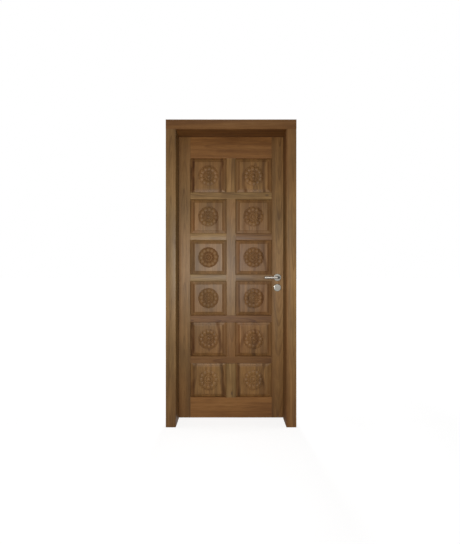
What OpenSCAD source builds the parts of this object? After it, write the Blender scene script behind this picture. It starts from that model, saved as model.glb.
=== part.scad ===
// A carved panel door hung in its solid timber frame. Lengths are in millimetres.
// X runs to the right, Y away from the carved side and Z up. The origin is on the floor, in the
// middle of the doorway and half way through the frame. The leaf is shut and its bolt drawn back.

/* [Frame] */
// Clear width between the jambs
opening_w = 776; // [650:1:1000]
// Clear height under the head
opening_h = 2094; // [1950:1:2400]
// Width of a jamb's front face
jamb_face = 71; // [60:1:100]
// Height of the head's front face
head_face = 68; // [60:1:100]
// Depth of the frame through the wall
frame_d = 150; // [120:1:220]
// How far the rebate for the leaf is cut into the frame
rebate = 15; // [12:1:18]
// Chamfer that eases the frame's front edges
frame_ease = 2; // [1:0.5:4]
// Thickness of the tenon on a jamb
jamb_tenon_t = 24; // [16:1:40]
// Length of the tenon on a jamb
jamb_tenon_l = 40; // [20:1:46]
// Wood left on each side of that tenon
jamb_tenon_inset = 12; // [8:1:20]

/* [Wall fixings] */
// Diameter of a fixing hole through a jamb
fixing_d = 10; // [6:0.5:12]
// Diameter of the counterbore for the fixing's head
fixing_head_d = 20; // [14:1:26]
// Depth of that counterbore
fixing_head_l = 8; // [4:1:16]
// Height of the lower fixing hole
fixing_z = 600; // [400:10:800]
// Distance between the two fixing holes of a jamb
fixing_pitch = 900; // [600:10:1000]

/* [Leaf] */
// Thickness of the leaf
leaf_t = 40; // [38:1:46]
// Gap beside and above the leaf
edge_gap = 3; // [2.5:0.5:4]
// Gap under the leaf
floor_gap = 6; // [3:1:12]
// Gap between the leaf and the shoulder that it shuts against
stop_gap = 1; // [0.5:0.5:3]
// Width of a stile
stile_w = 98; // [96:1:130]
// Width of a muntin
muntin_w = 72; // [50:1:100]
// Height of the top rail
top_rail_h = 168; // [100:1:220]
// Height of the bottom rail
bottom_rail_h = 150; // [100:1:240]
// Height of a rail between two rows of panels
cross_rail_h = 54; // [40:1:70]
// Bevel on the wood round each panel
bevel = 4; // [1:0.5:6]
// Width of the groove that holds the panels
groove_w = 10; // [8:0.5:12]
// Depth of that groove
groove_d = 12; // [8:0.5:14]
// Length of the tenons on the top and bottom rails
rail_tenon_l = 60; // [30:1:80]
// Height of the short haunch beside such a tenon
haunch_h = 30; // [15:1:50]
// Clearance on each side of a glued tenon
glue_gap = 0.15; // [0.05:0.05:0.3]

/* [Panels] */
// Clearance between a panel's edge and each wall of its groove
panel_gap = 0.3; // [0.1:0.1:0.6]
// Room for a panel to swell at the bottom of its groove
panel_float = 1; // [0.5:0.5:3]
// Width of the sloping margin at the sides of the raised field
margin_side = 28; // [15:1:35]
// Width of the sloping margin above and below the raised field
margin_end = 22; // [15:1:30]
// Depth of the raised field below the leaf's face
field_depth = 8; // [6:0.5:11]
// Height of the small shoulder between the margin and the field
shoulder_h = 1.5; // [0.5:0.1:2.5]
// Width of that shoulder
shoulder_w = 1.2; // [0.6:0.1:4]

/* [Rosettes] */
// Diameter of the round sinking that holds a rosette
sinking_d = 152; // [150:1:190]
// Depth of that sinking
sinking_depth = 2.5; // [1:0.5:4]
// Number of petals in each ring
petals = 12; // [10:1:14]
// Radius of the circle through the outer petals
outer_petal_circle = 55; // [52:1:56]
// Radius of an outer petal at its foot
outer_petal_r = 17.5; // [16:0.5:18]
// Height of an outer petal
outer_petal_h = 6; // [3:0.5:7]
// Radius at which the outer petals are cut off towards the middle
outer_petal_start = 41; // [40.8:0.1:43]
// Radius of the bead ring between the petals
bead_circle = 38; // [37.5:0.1:38.3]
// Radius of the bead itself
bead_r = 2.2; // [1:0.1:2.3]
// Radius of the circle through the inner petals
inner_petal_circle = 25; // [24:0.5:26]
// Radius of an inner petal at its foot
inner_petal_r = 8; // [7.5:0.1:8.5]
// Height of an inner petal
inner_petal_h = 4.5; // [3:0.5:6]
// Radius of the boss in the middle
boss_r = 14; // [8:0.5:14.5]
// Height of that boss
boss_h = 5; // [3:0.5:6.5]
// Radius of the eye drilled in the boss
eye_r = 3; // [1:0.5:5]
// Depth of the eye
eye_depth = 2; // [0.5:0.5:4]

/* [Hinges] */
// Height of a hinge
hinge_h = 100; // [80:1:120]
// Distance from the leaf's ends to the middle of the outer hinges
hinge_inset = 220; // [120:5:300]
// Thickness of a hinge plate
hinge_plate_t = 2; // [1.8:0.1:2.6]
// Width of a hinge plate within the leaf's thickness
hinge_plate_w = 30; // [26:1:34]
// Gap between the two plates of a shut hinge
hinge_plate_gap = 0.6; // [0.4:0.1:1]
// Radius of a knuckle
knuckle_r = 6; // [5.5:0.1:7]
// Number of knuckles in a hinge
knuckles = 5; // [3:2:7]
// Gap between knuckles
knuckle_gap = 0.3; // [0.2:0.1:0.5]
// Distance from the leaf's face to a knuckle
knuckle_off = 0.5; // [0.4:0.1:2]
// Radius of a hinge pin
pin_r = 3; // [2.5:0.1:3.5]
// Radius of the button at each end of a pin
pin_head_r = 4.5; // [4:0.1:5.4]
// Thickness of that button
pin_head_t = 3; // [2:0.5:5]

/* [Screws] */
// Radius of a wood screw's shank
screw_r = 2; // [1.5:0.1:2.4]
// Radius of a wood screw's head
screw_head_r = 4; // [3:0.1:4.4]
// Length of a wood screw
screw_l = 25; // [20:1:30]
// Width of the slot in a head
screw_slot_w = 0.9; // [0.6:0.1:1.2]
// Depth of the slot in a head
screw_slot_d = 0.8; // [0.4:0.1:1.2]

/* [Lock] */
// Distance from the leaf's edge to the axis of the lever
backset = 55; // [52:1:56]
// Height of the lever's axis
lever_z = 1050; // [950:1:1100]
// Distance from the lever's axis down to the turn's axis
turn_drop = 76; // [74:1:85]
// Depth of the lock case behind the faceplate
case_d = 78; // [77:1:80]
// Thickness of the lock case
case_t = 15; // [14:0.5:18]
// Thickness of the lock case's walls
case_wall = 2; // [1.5:0.1:2.4]
// Height of the lock case above the lever's axis
case_above = 54; // [40:1:60]
// Height of the lock case below the turn's axis
case_below = 38; // [30:1:45]
// Thickness of the faceplate
faceplate_t = 3; // [2:0.5:4]
// Width of the faceplate
faceplate_w = 20; // [19:1:24]
// How far the faceplate runs past the case at each end
faceplate_over = 16; // [12:1:24]
// Thickness of the strike plate
strike_t = 2.5; // [2:0.5:4]
// Width of the strike plate
strike_w = 24; // [20:1:30]
// How far the strike plate runs past the bolts at each end
strike_over = 26; // [18:1:36]
// Room round a bolt in the strike plate
strike_room = 1.5; // [1:0.5:2.5]
// Depth of the mortise behind the strike plate
strike_mortise = 16; // [16:1:24]
// Clearance of sliding and let-in pieces
slide_gap = 0.3; // [0.2:0.05:0.5]
// Radial clearance of turning pieces
run_gap = 0.05; // [0.03:0.01:0.08]

/* [Bolts] */
// How far the latch stands out of the leaf
latch_throw = 12.5; // [10:0.5:13]
// Length of the latch's body behind the faceplate
latch_body_l = 22; // [14:1:24]
// Thickness of the latch's edge
latch_edge = 2; // [1:0.5:4]
// Height of the latch's tail
latch_tail_h = 8; // [5:0.5:10]
// Thickness of the hook on the tail
latch_hook_t = 5; // [3:0.5:6]
// Lost motion before the follower meets the hook
lost_motion = 1; // [0.9:0.1:1.5]
// Angle that the lever turns through
lever_angle = 45; // [35:1:45]
// Throw of the dead bolt
bolt_throw = 17; // [14:0.5:18]
// Height of the dead bolt
bolt_h = 20; // [14:1:22]
// Length of the dead bolt's head
bolt_l = 34; // [26:1:36]
// How far the drawn bolt lies below the faceplate
bolt_sink = 0.5; // [0.2:0.1:1]
// Height of the dead bolt's tail
bolt_tail_h = 9; // [8.5:0.5:9.5]
// Room beside the tip of the follower in that tail
bolt_tail_room = 0.9; // [0.8:0.1:1.2]
// Angle that the turn goes through
turn_angle = 90; // [80:1:90]

/* [Followers] */
// Radius of the lever's follower
follower_r = 8.5; // [7.5:0.1:9]
// Radius of the tip of its arm
follower_tip_r = 3; // [2:0.1:3.2]
// Radius of the turn's follower
turn_follower_r = 7; // [6:0.1:7.2]
// Radius of the tip of its arm
turn_tip_r = 2; // [1.5:0.1:2.2]
// Half the thickness of that arm
turn_arm_r = 1.2; // [0.8:0.1:1.2]
// Thickness of the arms, bolts' tails and hook
arm_t = 6; // [4:0.5:8]
// Room between pieces that pass each other in the case
pass_gap = 1; // [0.6:0.1:1.2]

/* [Lever and turn] */
// Diameter of a rose
rose_d = 55; // [52:1:60]
// Thickness of a rose
rose_t = 9; // [8:0.5:12]
// Rounding of a rose's edge
rose_round = 3; // [1:0.5:4]
// Radius of the lever's neck
neck_r = 9; // [8:0.1:11]
// Chamfer on the end of the neck
neck_ease = 1.5; // [0.5:0.1:2.5]
// Distance from the leaf to the middle of the grip
grip_off = 48; // [40:1:60]
// Radius of the grip
grip_r = 8.5; // [7:0.1:8.8]
// Length of the grip from the lever's axis to its tip
grip_l = 104; // [90:1:125]
// Gap between the neck's foot and the leaf
neck_gap = 0.5; // [0.3:0.1:1]
// Width of the lever's square spindle
spindle_w = 8; // [6:0.5:9]
// Length of the spindle in each lever
spindle_hold = 29; // [15:1:32]
// Width of the turn's square spindle
turn_spindle_w = 5; // [4:0.5:6]
// Length of the turn's spindle past each face of the leaf
turn_spindle_out = 6; // [4:0.5:7]
// Radius of the coin release and of the thumb turn's foot
button_r = 10; // [8:0.5:12]
// How far the coin release stands out of its rose
button_proud = 1; // [0.5:0.5:2]
// Width of the coin slot
coin_slot_w = 2.4; // [1.5:0.1:3]
// Length of the coin slot
coin_slot_l = 15; // [10:1:16]
// Depth of the coin slot
coin_slot_d = 2; // [1:0.5:2.5]
// Slant of the coin slot
coin_slot_slant = 45; // [0:5:90]
// Length of the thumb turn's wing
wing_l = 32; // [24:1:40]
// Thickness of the thumb turn's wing
wing_t = 8; // [6:0.5:10]
// How far the thumb turn's wing stands out of its rose
wing_out = 18; // [12:1:24]
// Radius of the bolts that join the roses
rose_bolt_r = 2; // [1.5:0.1:2.2]
// Distance of those bolts from the rose's axis
rose_bolt_circle = 20; // [19.5:0.5:21]
// Length of thread in the front rose
rose_thread = 6; // [4:0.5:6.5]

/* [Hidden] */
$fn = 64;
EPS = 0.01;
ROWS = 6;
SIDE_NAMES = ["left", "right"];
HINGE_NAMES = ["bottom", "middle", "top"];
HINGES = [0 : len(HINGE_NAMES) - 1];
HINGE_SCREW_PLACES = [[-0.36, -1], [-0.12, 1], [0.12, -1], [0.36, 1]];
HINGE_SCREW_STAGGER = 0.2;
END_SCREW_INSET = 8;

// Frame
frame_x = opening_w / 2;
rebate_x = frame_x + rebate;
outer_x = frame_x + jamb_face;
rebate_z = opening_h + rebate;
outer_z = opening_h + head_face;
front_y = -frame_d / 2;
rear_y = frame_d / 2;

// Leaf
leaf_x = rebate_x - edge_gap;
leaf_z0 = floor_gap;
leaf_z1 = rebate_z - edge_gap;
leaf_y0 = rear_y - leaf_t;
leaf_y1 = rear_y;
mid_y = (leaf_y0 + leaf_y1) / 2;
shoulder_y = leaf_y0 - stop_gap;
jamb_tenon_y = (front_y + shoulder_y) / 2;

// Panel openings: row 0 is the lowest, column 0 is on the hinge side
open_w = leaf_x - stile_w - muntin_w / 2;
open_h = (leaf_z1 - leaf_z0 - top_rail_h - bottom_rail_h - (ROWS - 1) * cross_rail_h) / ROWS;
row_pitch = open_h + cross_rail_h;
stile_x = leaf_x - stile_w;
bottom_z = leaf_z0 + bottom_rail_h;
top_z = leaf_z1 - top_rail_h;
stub_l = groove_d - panel_float / 2;
tenon_t = groove_w - 2 * glue_gap;

function open_x(col) = (col == 0 ? -1 : 1) * (muntin_w + open_w) / 2;
function open_z0(row) = bottom_z + row * row_pitch;
function open_z(row) = open_z0(row) + open_h / 2;

// Panels
tongue_t = groove_w - 2 * panel_gap;
panel_w = open_w + 2 * (groove_d - panel_float);
panel_h = open_h + 2 * (groove_d - panel_float);
field_w = open_w - 2 * margin_side;
field_h = open_h - 2 * margin_end;
field_y = leaf_t / 2 - field_depth;

// Hinges
axis_x = -(rebate_x - edge_gap / 2);
axis_y = rear_y + knuckle_off + knuckle_r;
hinge_z = [leaf_z0 + hinge_inset, (leaf_z0 + leaf_z1) / 2, leaf_z1 - hinge_inset];
knuckle_h = hinge_h / knuckles;
hinge_recess = hinge_plate_gap / 2 + hinge_plate_t - edge_gap / 2;
hinge_plate_y = rear_y - hinge_plate_w;

// Lock
spindle_x = leaf_x - backset;
turn_z = lever_z - turn_drop;
case_x1 = leaf_x - faceplate_t;
case_x0 = case_x1 - case_d;
case_z0 = turn_z - case_below;
case_z1 = lever_z + case_above;
faceplate_z0 = case_z0 - faceplate_over;
faceplate_z1 = case_z1 + faceplate_over;
bolt_t = case_t - 2 * case_wall - 2 * slide_gap;
follower_arm = latch_throw / sin(lever_angle);
latch_z0 = lever_z + follower_r + pass_gap + slide_gap;
latch_tail_z = lever_z + follower_arm + follower_tip_r + pass_gap;
latch_z1 = latch_tail_z + latch_tail_h;
latch_x0 = case_x1 - latch_body_l;
hook_x = spindle_x - follower_tip_r - lost_motion;
turn_arm = bolt_throw / (2 * sin(turn_angle / 2));
bolt_x1 = leaf_x - bolt_sink;
bolt_x0 = bolt_x1 - bolt_l;
bolt_tail_z = turn_z + turn_follower_r + pass_gap;
fork_x = spindle_x - turn_arm * sin(turn_angle / 2);
fork_r = turn_tip_r + bolt_tail_room;
fork_wall = 2 * turn_tip_r;
strike_z0 = turn_z - bolt_h / 2 - strike_over;
strike_z1 = latch_z1 + strike_over;
rose_y = leaf_t / 2 + rose_t;

// Names of the panels, whose rows are counted from the top, and of the hinges' pieces
function panel_name(row, col) = str("panel_", ROWS - row, "_", SIDE_NAMES[col]);
function hinge_name(k, piece) = str(HINGE_NAMES[k], "_hinge_", piece);

// Building blocks

// A block between two corners
module block(low, high) {
    translate(low) cube(high - low);
}

// A straight round bar along Y
module bar_y(r, y0, y1) {
    translate([0, y0, 0]) rotate([-90, 0, 0]) cylinder(r = r, h = y1 - y0);
}

// A straight round bar along X
module bar_x(r, x0, x1) {
    translate([x0, 0, 0]) rotate([0, 90, 0]) cylinder(r = r, h = x1 - x0);
}

// An outline in X and Y, extruded up from z0 to z1
module along_z(z0, z1) {
    translate([0, 0, z0]) linear_extrude(z1 - z0) children();
}

// An outline in Y and Z, extruded along X
module along_x(x0, x1) {
    translate([x0, 0, 0]) rotate([90, 0, 90]) linear_extrude(x1 - x0) children();
}

// A piece of the leaf's front, turned round to the rear face
module turned_to_rear() {
    translate([0, 2 * mid_y, 0]) mirror([0, 1, 0]) children();
}

// Puts a piece on the axis of the lever or the turn
module at_lever() {
    translate([spindle_x, 0, lever_z]) children();
}

module at_turn() {
    translate([spindle_x, 0, turn_z]) children();
}

// Frame

// A jamb's section: a rebated post, eased on both front edges
module jamb_outline() {
    polygon([
        [-outer_x, front_y + frame_ease],
        [-outer_x + frame_ease, front_y],
        [-frame_x - frame_ease, front_y],
        [-frame_x, front_y + frame_ease],
        [-frame_x, shoulder_y],
        [-rebate_x, shoulder_y],
        [-rebate_x, rear_y],
        [-outer_x, rear_y]
    ]);
}

// The rear part of a jamb runs up to the head's rebate
module jamb_post() {
    difference() {
        along_z(0, rebate_z) jamb_outline();
        block([-outer_x - EPS, front_y - EPS, opening_h], [-frame_x + EPS, shoulder_y, rebate_z + EPS]);
    }
    jamb_tenon(0);
}

module jamb_tenon(gap) {
    half_t = jamb_tenon_t / 2 + gap;
    block(
        [-outer_x + jamb_tenon_inset - gap, jamb_tenon_y - half_t, opening_h - EPS],
        [-frame_x - jamb_tenon_inset + gap, jamb_tenon_y + half_t, opening_h + jamb_tenon_l + gap]
    );
}

// The two holes for wall fixings through a jamb, counterbored in the rebate
module fixing_holes() {
    for (z = [fixing_z, fixing_z + fixing_pitch])
        translate([0, mid_y, z]) {
            bar_x(fixing_d / 2, -outer_x - EPS, -rebate_x + EPS);
            bar_x(fixing_head_d / 2, -rebate_x - fixing_head_l, -rebate_x + EPS);
        }
}

module hinge_jamb() {
    color("saddlebrown")
    difference() {
        jamb_post();
        fixing_holes();
        for (z = hinge_z) {
            hinge_sinking(-1, z);
            hinge_screw_holes(-1, z);
        }
    }
}

module lock_jamb() {
    color("saddlebrown")
    difference() {
        mirror([1, 0, 0]) jamb_post();
        mirror([1, 0, 0]) fixing_holes();
        block(
            [rebate_x - EPS, mid_y - strike_w / 2 - slide_gap, strike_z0 - slide_gap],
            [rebate_x + strike_t, mid_y + strike_w / 2 + slide_gap, strike_z1 + slide_gap]
        );
        strike_holes(rebate_x, rebate_x + strike_t + strike_mortise);
        strike_screw_places() screw_hole();
    }
}

// The head lies over both jambs and takes their tenons
module head() {
    color("saddlebrown")
    difference() {
        along_x(-outer_x, outer_x)
            polygon([
                [front_y, opening_h],
                [shoulder_y, opening_h],
                [shoulder_y, rebate_z],
                [rear_y, rebate_z],
                [rear_y, outer_z],
                [front_y + frame_ease, outer_z],
                [front_y, outer_z - frame_ease]
            ]);
        along_x(-frame_x, frame_x)
            polygon([
                [front_y - EPS, opening_h - EPS],
                [front_y + frame_ease, opening_h - EPS],
                [front_y - EPS, opening_h + frame_ease]
            ]);
        jamb_tenon(glue_gap);
        mirror([1, 0, 0]) jamb_tenon(glue_gap);
    }
}

// The strike plate's two holes, for the latch and the dead bolt
module strike_holes(x0, x1) {
    half_t = bolt_t / 2 + strike_room;
    for (span = [[latch_z0, latch_z1], [turn_z - bolt_h / 2, turn_z + bolt_h / 2]])
        block(
            [x0 - EPS, mid_y - half_t, span[0] - strike_room],
            [x1, mid_y + half_t, span[1] + strike_room]
        );
}

// The strike plate's screws run away from the leaf
module strike_screw_places() {
    for (z = [strike_z0 + END_SCREW_INSET, strike_z1 - END_SCREW_INSET])
        translate([rebate_x, mid_y, z]) rotate([0, 90, 0]) children();
}

module strike_plate() {
    color("silver")
    difference() {
        block(
            [rebate_x, mid_y - strike_w / 2, strike_z0],
            [rebate_x + strike_t, mid_y + strike_w / 2, strike_z1]
        );
        strike_holes(rebate_x, rebate_x + strike_t + EPS);
        strike_screw_places() screw_hole();
    }
}

// Screws: each one points down its own +Z, with the head's face at the origin

module screw() {
    difference() {
        union() {
            cylinder(r1 = screw_head_r, r2 = screw_r, h = screw_head_r - screw_r);
            cylinder(r = screw_r, h = screw_l);
        }
        translate([-screw_head_r - EPS, -screw_slot_w / 2, -EPS])
            cube([2 * screw_head_r + 2 * EPS, screw_slot_w, screw_slot_d + EPS]);
    }
}

module screw_hole() {
    translate([0, 0, -EPS])
        cylinder(
            r1 = screw_head_r + run_gap + EPS,
            r2 = screw_r + run_gap,
            h = screw_head_r - screw_r + EPS
        );
    translate([0, 0, -EPS]) cylinder(r = screw_r + run_gap, h = screw_l + slide_gap);
}

module frame_screws() {
    color("gainsboro") {
        for (z = hinge_z)
            hinge_screw_places(-1, z) screw();
        strike_screw_places() screw();
    }
}

module leaf_screws() {
    color("gainsboro") {
        for (z = hinge_z)
            hinge_screw_places(1, z) screw();
        faceplate_screw_places() screw();
    }
}

// Hinges: side -1 is the frame's plate, side 1 the leaf's

module hinge_screw_places(side, z) {
    for (place = HINGE_SCREW_PLACES)
        translate([
            axis_x + side * hinge_plate_gap / 2,
            rear_y - hinge_plate_w / 2 + place[1] * hinge_plate_w * HINGE_SCREW_STAGGER,
            z + place[0] * hinge_h
        ])
        rotate([0, side * 90, 0]) children();
}

module hinge_screw_holes(side, z) {
    hinge_screw_places(side, z) screw_hole();
}

// The sinking that takes a hinge plate in the edge of the wood
module hinge_sinking(side, z) {
    face = axis_x + side * edge_gap / 2;
    block(
        [
            min(face, face + side * hinge_recess) - (side > 0 ? EPS : 0),
            hinge_plate_y - slide_gap,
            z - hinge_h / 2 - slide_gap
        ],
        [
            max(face, face + side * hinge_recess) + (side < 0 ? EPS : 0),
            rear_y + EPS,
            z + hinge_h / 2 + slide_gap
        ]
    );
}

// A plate carries every second knuckle, and is cut clear of the others
module hinge_plate(side, z) {
    inner = axis_x + side * hinge_plate_gap / 2;
    outer = inner + side * hinge_plate_t;
    first = side < 0 ? 0 : 1;
    other = 1 - first;
    color("silver")
    difference() {
        union() {
            block(
                [min(inner, outer), hinge_plate_y, z - hinge_h / 2],
                [max(inner, outer), axis_y, z + hinge_h / 2]
            );
            for (k = [first : 2 : knuckles - 1])
                knuckle(knuckle_r, z, k, -knuckle_gap / 2);
        }
        for (k = [other : 2 : knuckles - 1])
            knuckle(knuckle_r + slide_gap, z, k, knuckle_gap / 2);
        translate([axis_x, axis_y, z - hinge_h / 2 - EPS])
            cylinder(r = pin_r + run_gap, h = hinge_h + 2 * EPS);
        hinge_screw_holes(side, z);
    }
}

module knuckle(r, z, k, grow) {
    low = k == 0 ? 0 : grow;
    high = k == knuckles - 1 ? 0 : grow;
    translate([axis_x, axis_y, z - hinge_h / 2 + k * knuckle_h - low])
        cylinder(r = r, h = knuckle_h + low + high);
}

// A pin fills the knuckles and has a button at each end
module hinge_pin(z) {
    color("silver")
    translate([axis_x, axis_y, z - hinge_h / 2]) {
        cylinder(r = pin_r, h = hinge_h);
        translate([0, 0, -pin_head_t]) cylinder(r = pin_head_r, h = pin_head_t);
        translate([0, 0, hinge_h]) cylinder(r = pin_head_r, h = pin_head_t);
    }
}

// Leaf

// A piece of the leaf's framing, through its whole thickness
module board(x0, x1, z0, z1) {
    block([x0, leaf_y0, z0], [x1, leaf_y1, z1]);
}

// A tenon or stub in the middle of the leaf's thickness
module tongue(x0, x1, z0, z1) {
    block([x0, mid_y - tenon_t / 2, z0], [x1, mid_y + tenon_t / 2, z1]);
}

// A groove in the middle of the leaf's thickness
module groove(x0, x1, z0, z1) {
    block([x0, mid_y - groove_w / 2, z0], [x1, mid_y + groove_w / 2, z1]);
}

// The bevel that runs round a panel opening on both faces, mitred in the corners
module opening_bevels(col, row) {
    translate([open_x(col), 0, open_z(row)])
        for (side = [-1, 1])
            intersection() {
                along_z(-open_h / 2 - bevel, open_h / 2 + bevel) bevel_outline(open_w / 2, side);
                rotate([0, 90, 0])
                    along_z(-open_w / 2 - bevel, open_w / 2 + bevel) bevel_outline(open_h / 2, side);
            }
}

module bevel_outline(half, side) {
    face = mid_y + side * leaf_t / 2;
    polygon([
        [-half, face - side * bevel],
        [half, face - side * bevel],
        [half + bevel + EPS, face + side * EPS],
        [-half - bevel - EPS, face + side * EPS]
    ]);
}

// A stile, grooved along its inner edge and mortised for the top and bottom rails
module stile(col) {
    side = col == 0 ? -1 : 1;
    difference() {
        board(min(side * stile_x, side * leaf_x), max(side * stile_x, side * leaf_x), leaf_z0, leaf_z1);
        stile_groove(side, groove_d, leaf_z0 - EPS, leaf_z1 + EPS);
        stile_groove(side, rail_tenon_l + panel_float, leaf_z0 + haunch_h, bottom_z - groove_d);
        stile_groove(side, rail_tenon_l + panel_float, top_z + groove_d, leaf_z1 - haunch_h);
        for (row = [0 : ROWS - 1])
            opening_bevels(col, row);
    }
}

module stile_groove(side, depth, z0, z1) {
    inner = side * (stile_x - EPS);
    outer = side * (stile_x + depth);
    groove(min(inner, outer), max(inner, outer), z0, z1);
}

module hinge_stile() {
    color("peru")
    difference() {
        stile(0);
        for (z = hinge_z) {
            hinge_sinking(1, z);
            hinge_screw_holes(1, z);
        }
    }
}

module lock_stile() {
    color("peru")
    difference() {
        stile(1);
        block(
            [case_x0 - slide_gap, mid_y - case_t / 2 - slide_gap, case_z0 - slide_gap],
            [leaf_x + EPS, mid_y + case_t / 2 + slide_gap, case_z1 + slide_gap]
        );
        block(
            [case_x1, mid_y - faceplate_w / 2 - slide_gap, faceplate_z0 - slide_gap],
            [leaf_x + EPS, mid_y + faceplate_w / 2 + slide_gap, faceplate_z1 + slide_gap]
        );
        faceplate_screw_places() screw_hole();
        at_lever() bar_y(neck_r + pass_gap, leaf_y0 - EPS, leaf_y1 + EPS);
        at_turn() bar_y(button_r - pass_gap, leaf_y0 - EPS, leaf_y1 + EPS);
        rose_bolt_holes(leaf_y0 - EPS, leaf_y1 + EPS);
    }
}

// A rail between two upright pieces, with a stub at each end and a groove along each inner edge
module rail(x0, x1, z0, z1, below, above) {
    low = below ? groove_d : 0;
    high = above ? groove_d : 0;
    difference() {
        union() {
            board(x0, x1, z0, z1);
            tongue(x0 - stub_l, x1 + stub_l, z0 + low, z1 - high);
        }
        if (below)
            groove(x0 - EPS, x1 + EPS, z0 - EPS, z0 + groove_d);
        if (above)
            groove(x0 - EPS, x1 + EPS, z1 - groove_d, z1 + EPS);
    }
}

// The bevels of the four openings round a cross rail, or the two beside an end rail
module rail_bevels(cols, rows) {
    for (col = cols, row = rows)
        opening_bevels(col, row);
}

// The top and bottom rails have a long tenon beside the haunch
module end_rail_tenons(z0, z1) {
    for (side = [-1, 1])
        tongue(
            min(side * (stile_x - EPS), side * (stile_x + rail_tenon_l)),
            max(side * (stile_x - EPS), side * (stile_x + rail_tenon_l)),
            z0 + glue_gap,
            z1 - glue_gap
        );
}

module top_rail() {
    color("peru")
    difference() {
        union() {
            rail(-stile_x, stile_x, top_z, leaf_z1, true, false);
            end_rail_tenons(top_z + groove_d, leaf_z1 - haunch_h);
        }
        rail_bevels([0, 1], [ROWS - 1]);
    }
}

module bottom_rail() {
    color("peru")
    difference() {
        union() {
            rail(-stile_x, stile_x, leaf_z0, bottom_z, false, true);
            end_rail_tenons(leaf_z0 + haunch_h, bottom_z - groove_d);
        }
        rail_bevels([0, 1], [0]);
    }
}

// A cross rail that runs from stile to stile above the given row
module cross_rail(row) {
    z0 = open_z0(row) + open_h;
    color("peru")
    difference() {
        rail(-stile_x, stile_x, z0, z0 + cross_rail_h, true, true);
        rail_bevels([0, 1], [row, row + 1]);
    }
}

// A short rail from a stile to the long muntin above the given row
module short_rail(col, row) {
    z0 = open_z0(row) + open_h;
    x = open_x(col);
    color("peru")
    difference() {
        rail(x - open_w / 2, x + open_w / 2, z0, z0 + cross_rail_h, true, true);
        rail_bevels([col], [row, row + 1]);
    }
}

// A muntin beside the rows from first to last, with a stub at each end
module muntin(first, last) {
    half = muntin_w / 2;
    z0 = open_z0(first);
    z1 = open_z0(last) + open_h;
    color("peru")
    difference() {
        union() {
            board(-half, half, z0, z1);
            tongue(-half + groove_d, half - groove_d, z0 - stub_l, z1 + stub_l);
        }
        for (side = [-1, 1])
            groove(
                min(side * (half - groove_d), side * (half + EPS)),
                max(side * (half - groove_d), side * (half + EPS)),
                z0 - EPS,
                z1 + EPS
            );
        rail_bevels([0, 1], [first : last]);
    }
}

// Panels

// A panel's section: a tongue for the groove, then on both faces a margin that slopes up to a
// small shoulder, and the raised field
module panel_outline(half, open_half, field_half) {
    points = [
        [half, tongue_t / 2],
        [open_half, tongue_t / 2],
        [field_half + shoulder_w, field_y - shoulder_h],
        [field_half, field_y]
    ];
    last = len(points) - 1;
    back_left = [for (k = [last : -1 : 0]) [-points[k][0], points[k][1]]];
    front_left = [for (p = points) [-p[0], -p[1]]];
    front = [for (k = [last : -1 : 0]) [points[k][0], -points[k][1]]];
    polygon(concat(points, back_left, front_left, front));
}

module raised_panel() {
    intersection() {
        along_z(-panel_h / 2, panel_h / 2) panel_outline(panel_w / 2, open_w / 2, field_w / 2);
        rotate([0, 90, 0])
            along_z(-panel_w / 2, panel_w / 2) panel_outline(panel_h / 2, open_h / 2, field_h / 2);
    }
}

// A shallow dome of the given foot radius and height, standing on z = 0
module dome(foot_r, height) {
    ball_r = (foot_r * foot_r + height * height) / (2 * height);
    translate([0, 0, height - ball_r]) sphere(r = ball_r);
}

module petal_ring(circle, foot_r, height) {
    for (k = [0 : petals - 1])
        rotate([0, 0, k * 360 / petals])
            translate([circle, 0, 0]) dome(foot_r, height);
}

// The rosette stands on z = 0 and reaches a little below it, into the wood
module rosette() {
    root = sinking_depth / 2;
    intersection() {
        translate([0, 0, -root])
            difference() {
                cylinder(d = sinking_d, h = root + outer_petal_h + EPS);
                translate([0, 0, -EPS]) cylinder(r = outer_petal_start, h = root + outer_petal_h + 3 * EPS);
            }
        petal_ring(outer_petal_circle, outer_petal_r, outer_petal_h);
    }
    rotate_extrude() translate([bead_circle, 0]) circle(r = bead_r);
    intersection() {
        translate([0, 0, -root]) cylinder(r = bead_circle - bead_r, h = root + inner_petal_h + EPS);
        petal_ring(inner_petal_circle, inner_petal_r, inner_petal_h);
    }
    difference() {
        intersection() {
            translate([0, 0, -root]) cylinder(r = boss_r, h = root + boss_h + EPS);
            dome(boss_r, boss_h);
        }
        translate([0, 0, boss_h - eye_depth]) cylinder(r = eye_r, h = eye_depth + EPS);
    }
}

module carved_panel(row, col) {
    floor_y = -field_y + sinking_depth;
    color("sienna")
    translate([open_x(col), mid_y, open_z(row)]) {
        difference() {
            raised_panel();
            bar_y(sinking_d / 2, -leaf_t, floor_y);
        }
        translate([0, floor_y, 0]) rotate([90, 0, 0]) rosette();
    }
}

// Lock

module faceplate_screw_places() {
    for (z = [faceplate_z0 + END_SCREW_INSET, faceplate_z1 - END_SCREW_INSET])
        translate([leaf_x, mid_y, z]) rotate([0, -90, 0]) children();
}

// The bolts that join the front and rear roses: beside the lever's axis, above and below the turn's
module rose_bolt_places() {
    for (side = [-1, 1]) {
        at_lever() translate([side * rose_bolt_circle, 0, 0]) children();
        at_turn() translate([0, 0, side * rose_bolt_circle]) children();
    }
}

module rose_bolt_holes(y0, y1) {
    rose_bolt_places() bar_y(rose_bolt_r + slide_gap, y0, y1);
}

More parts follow.
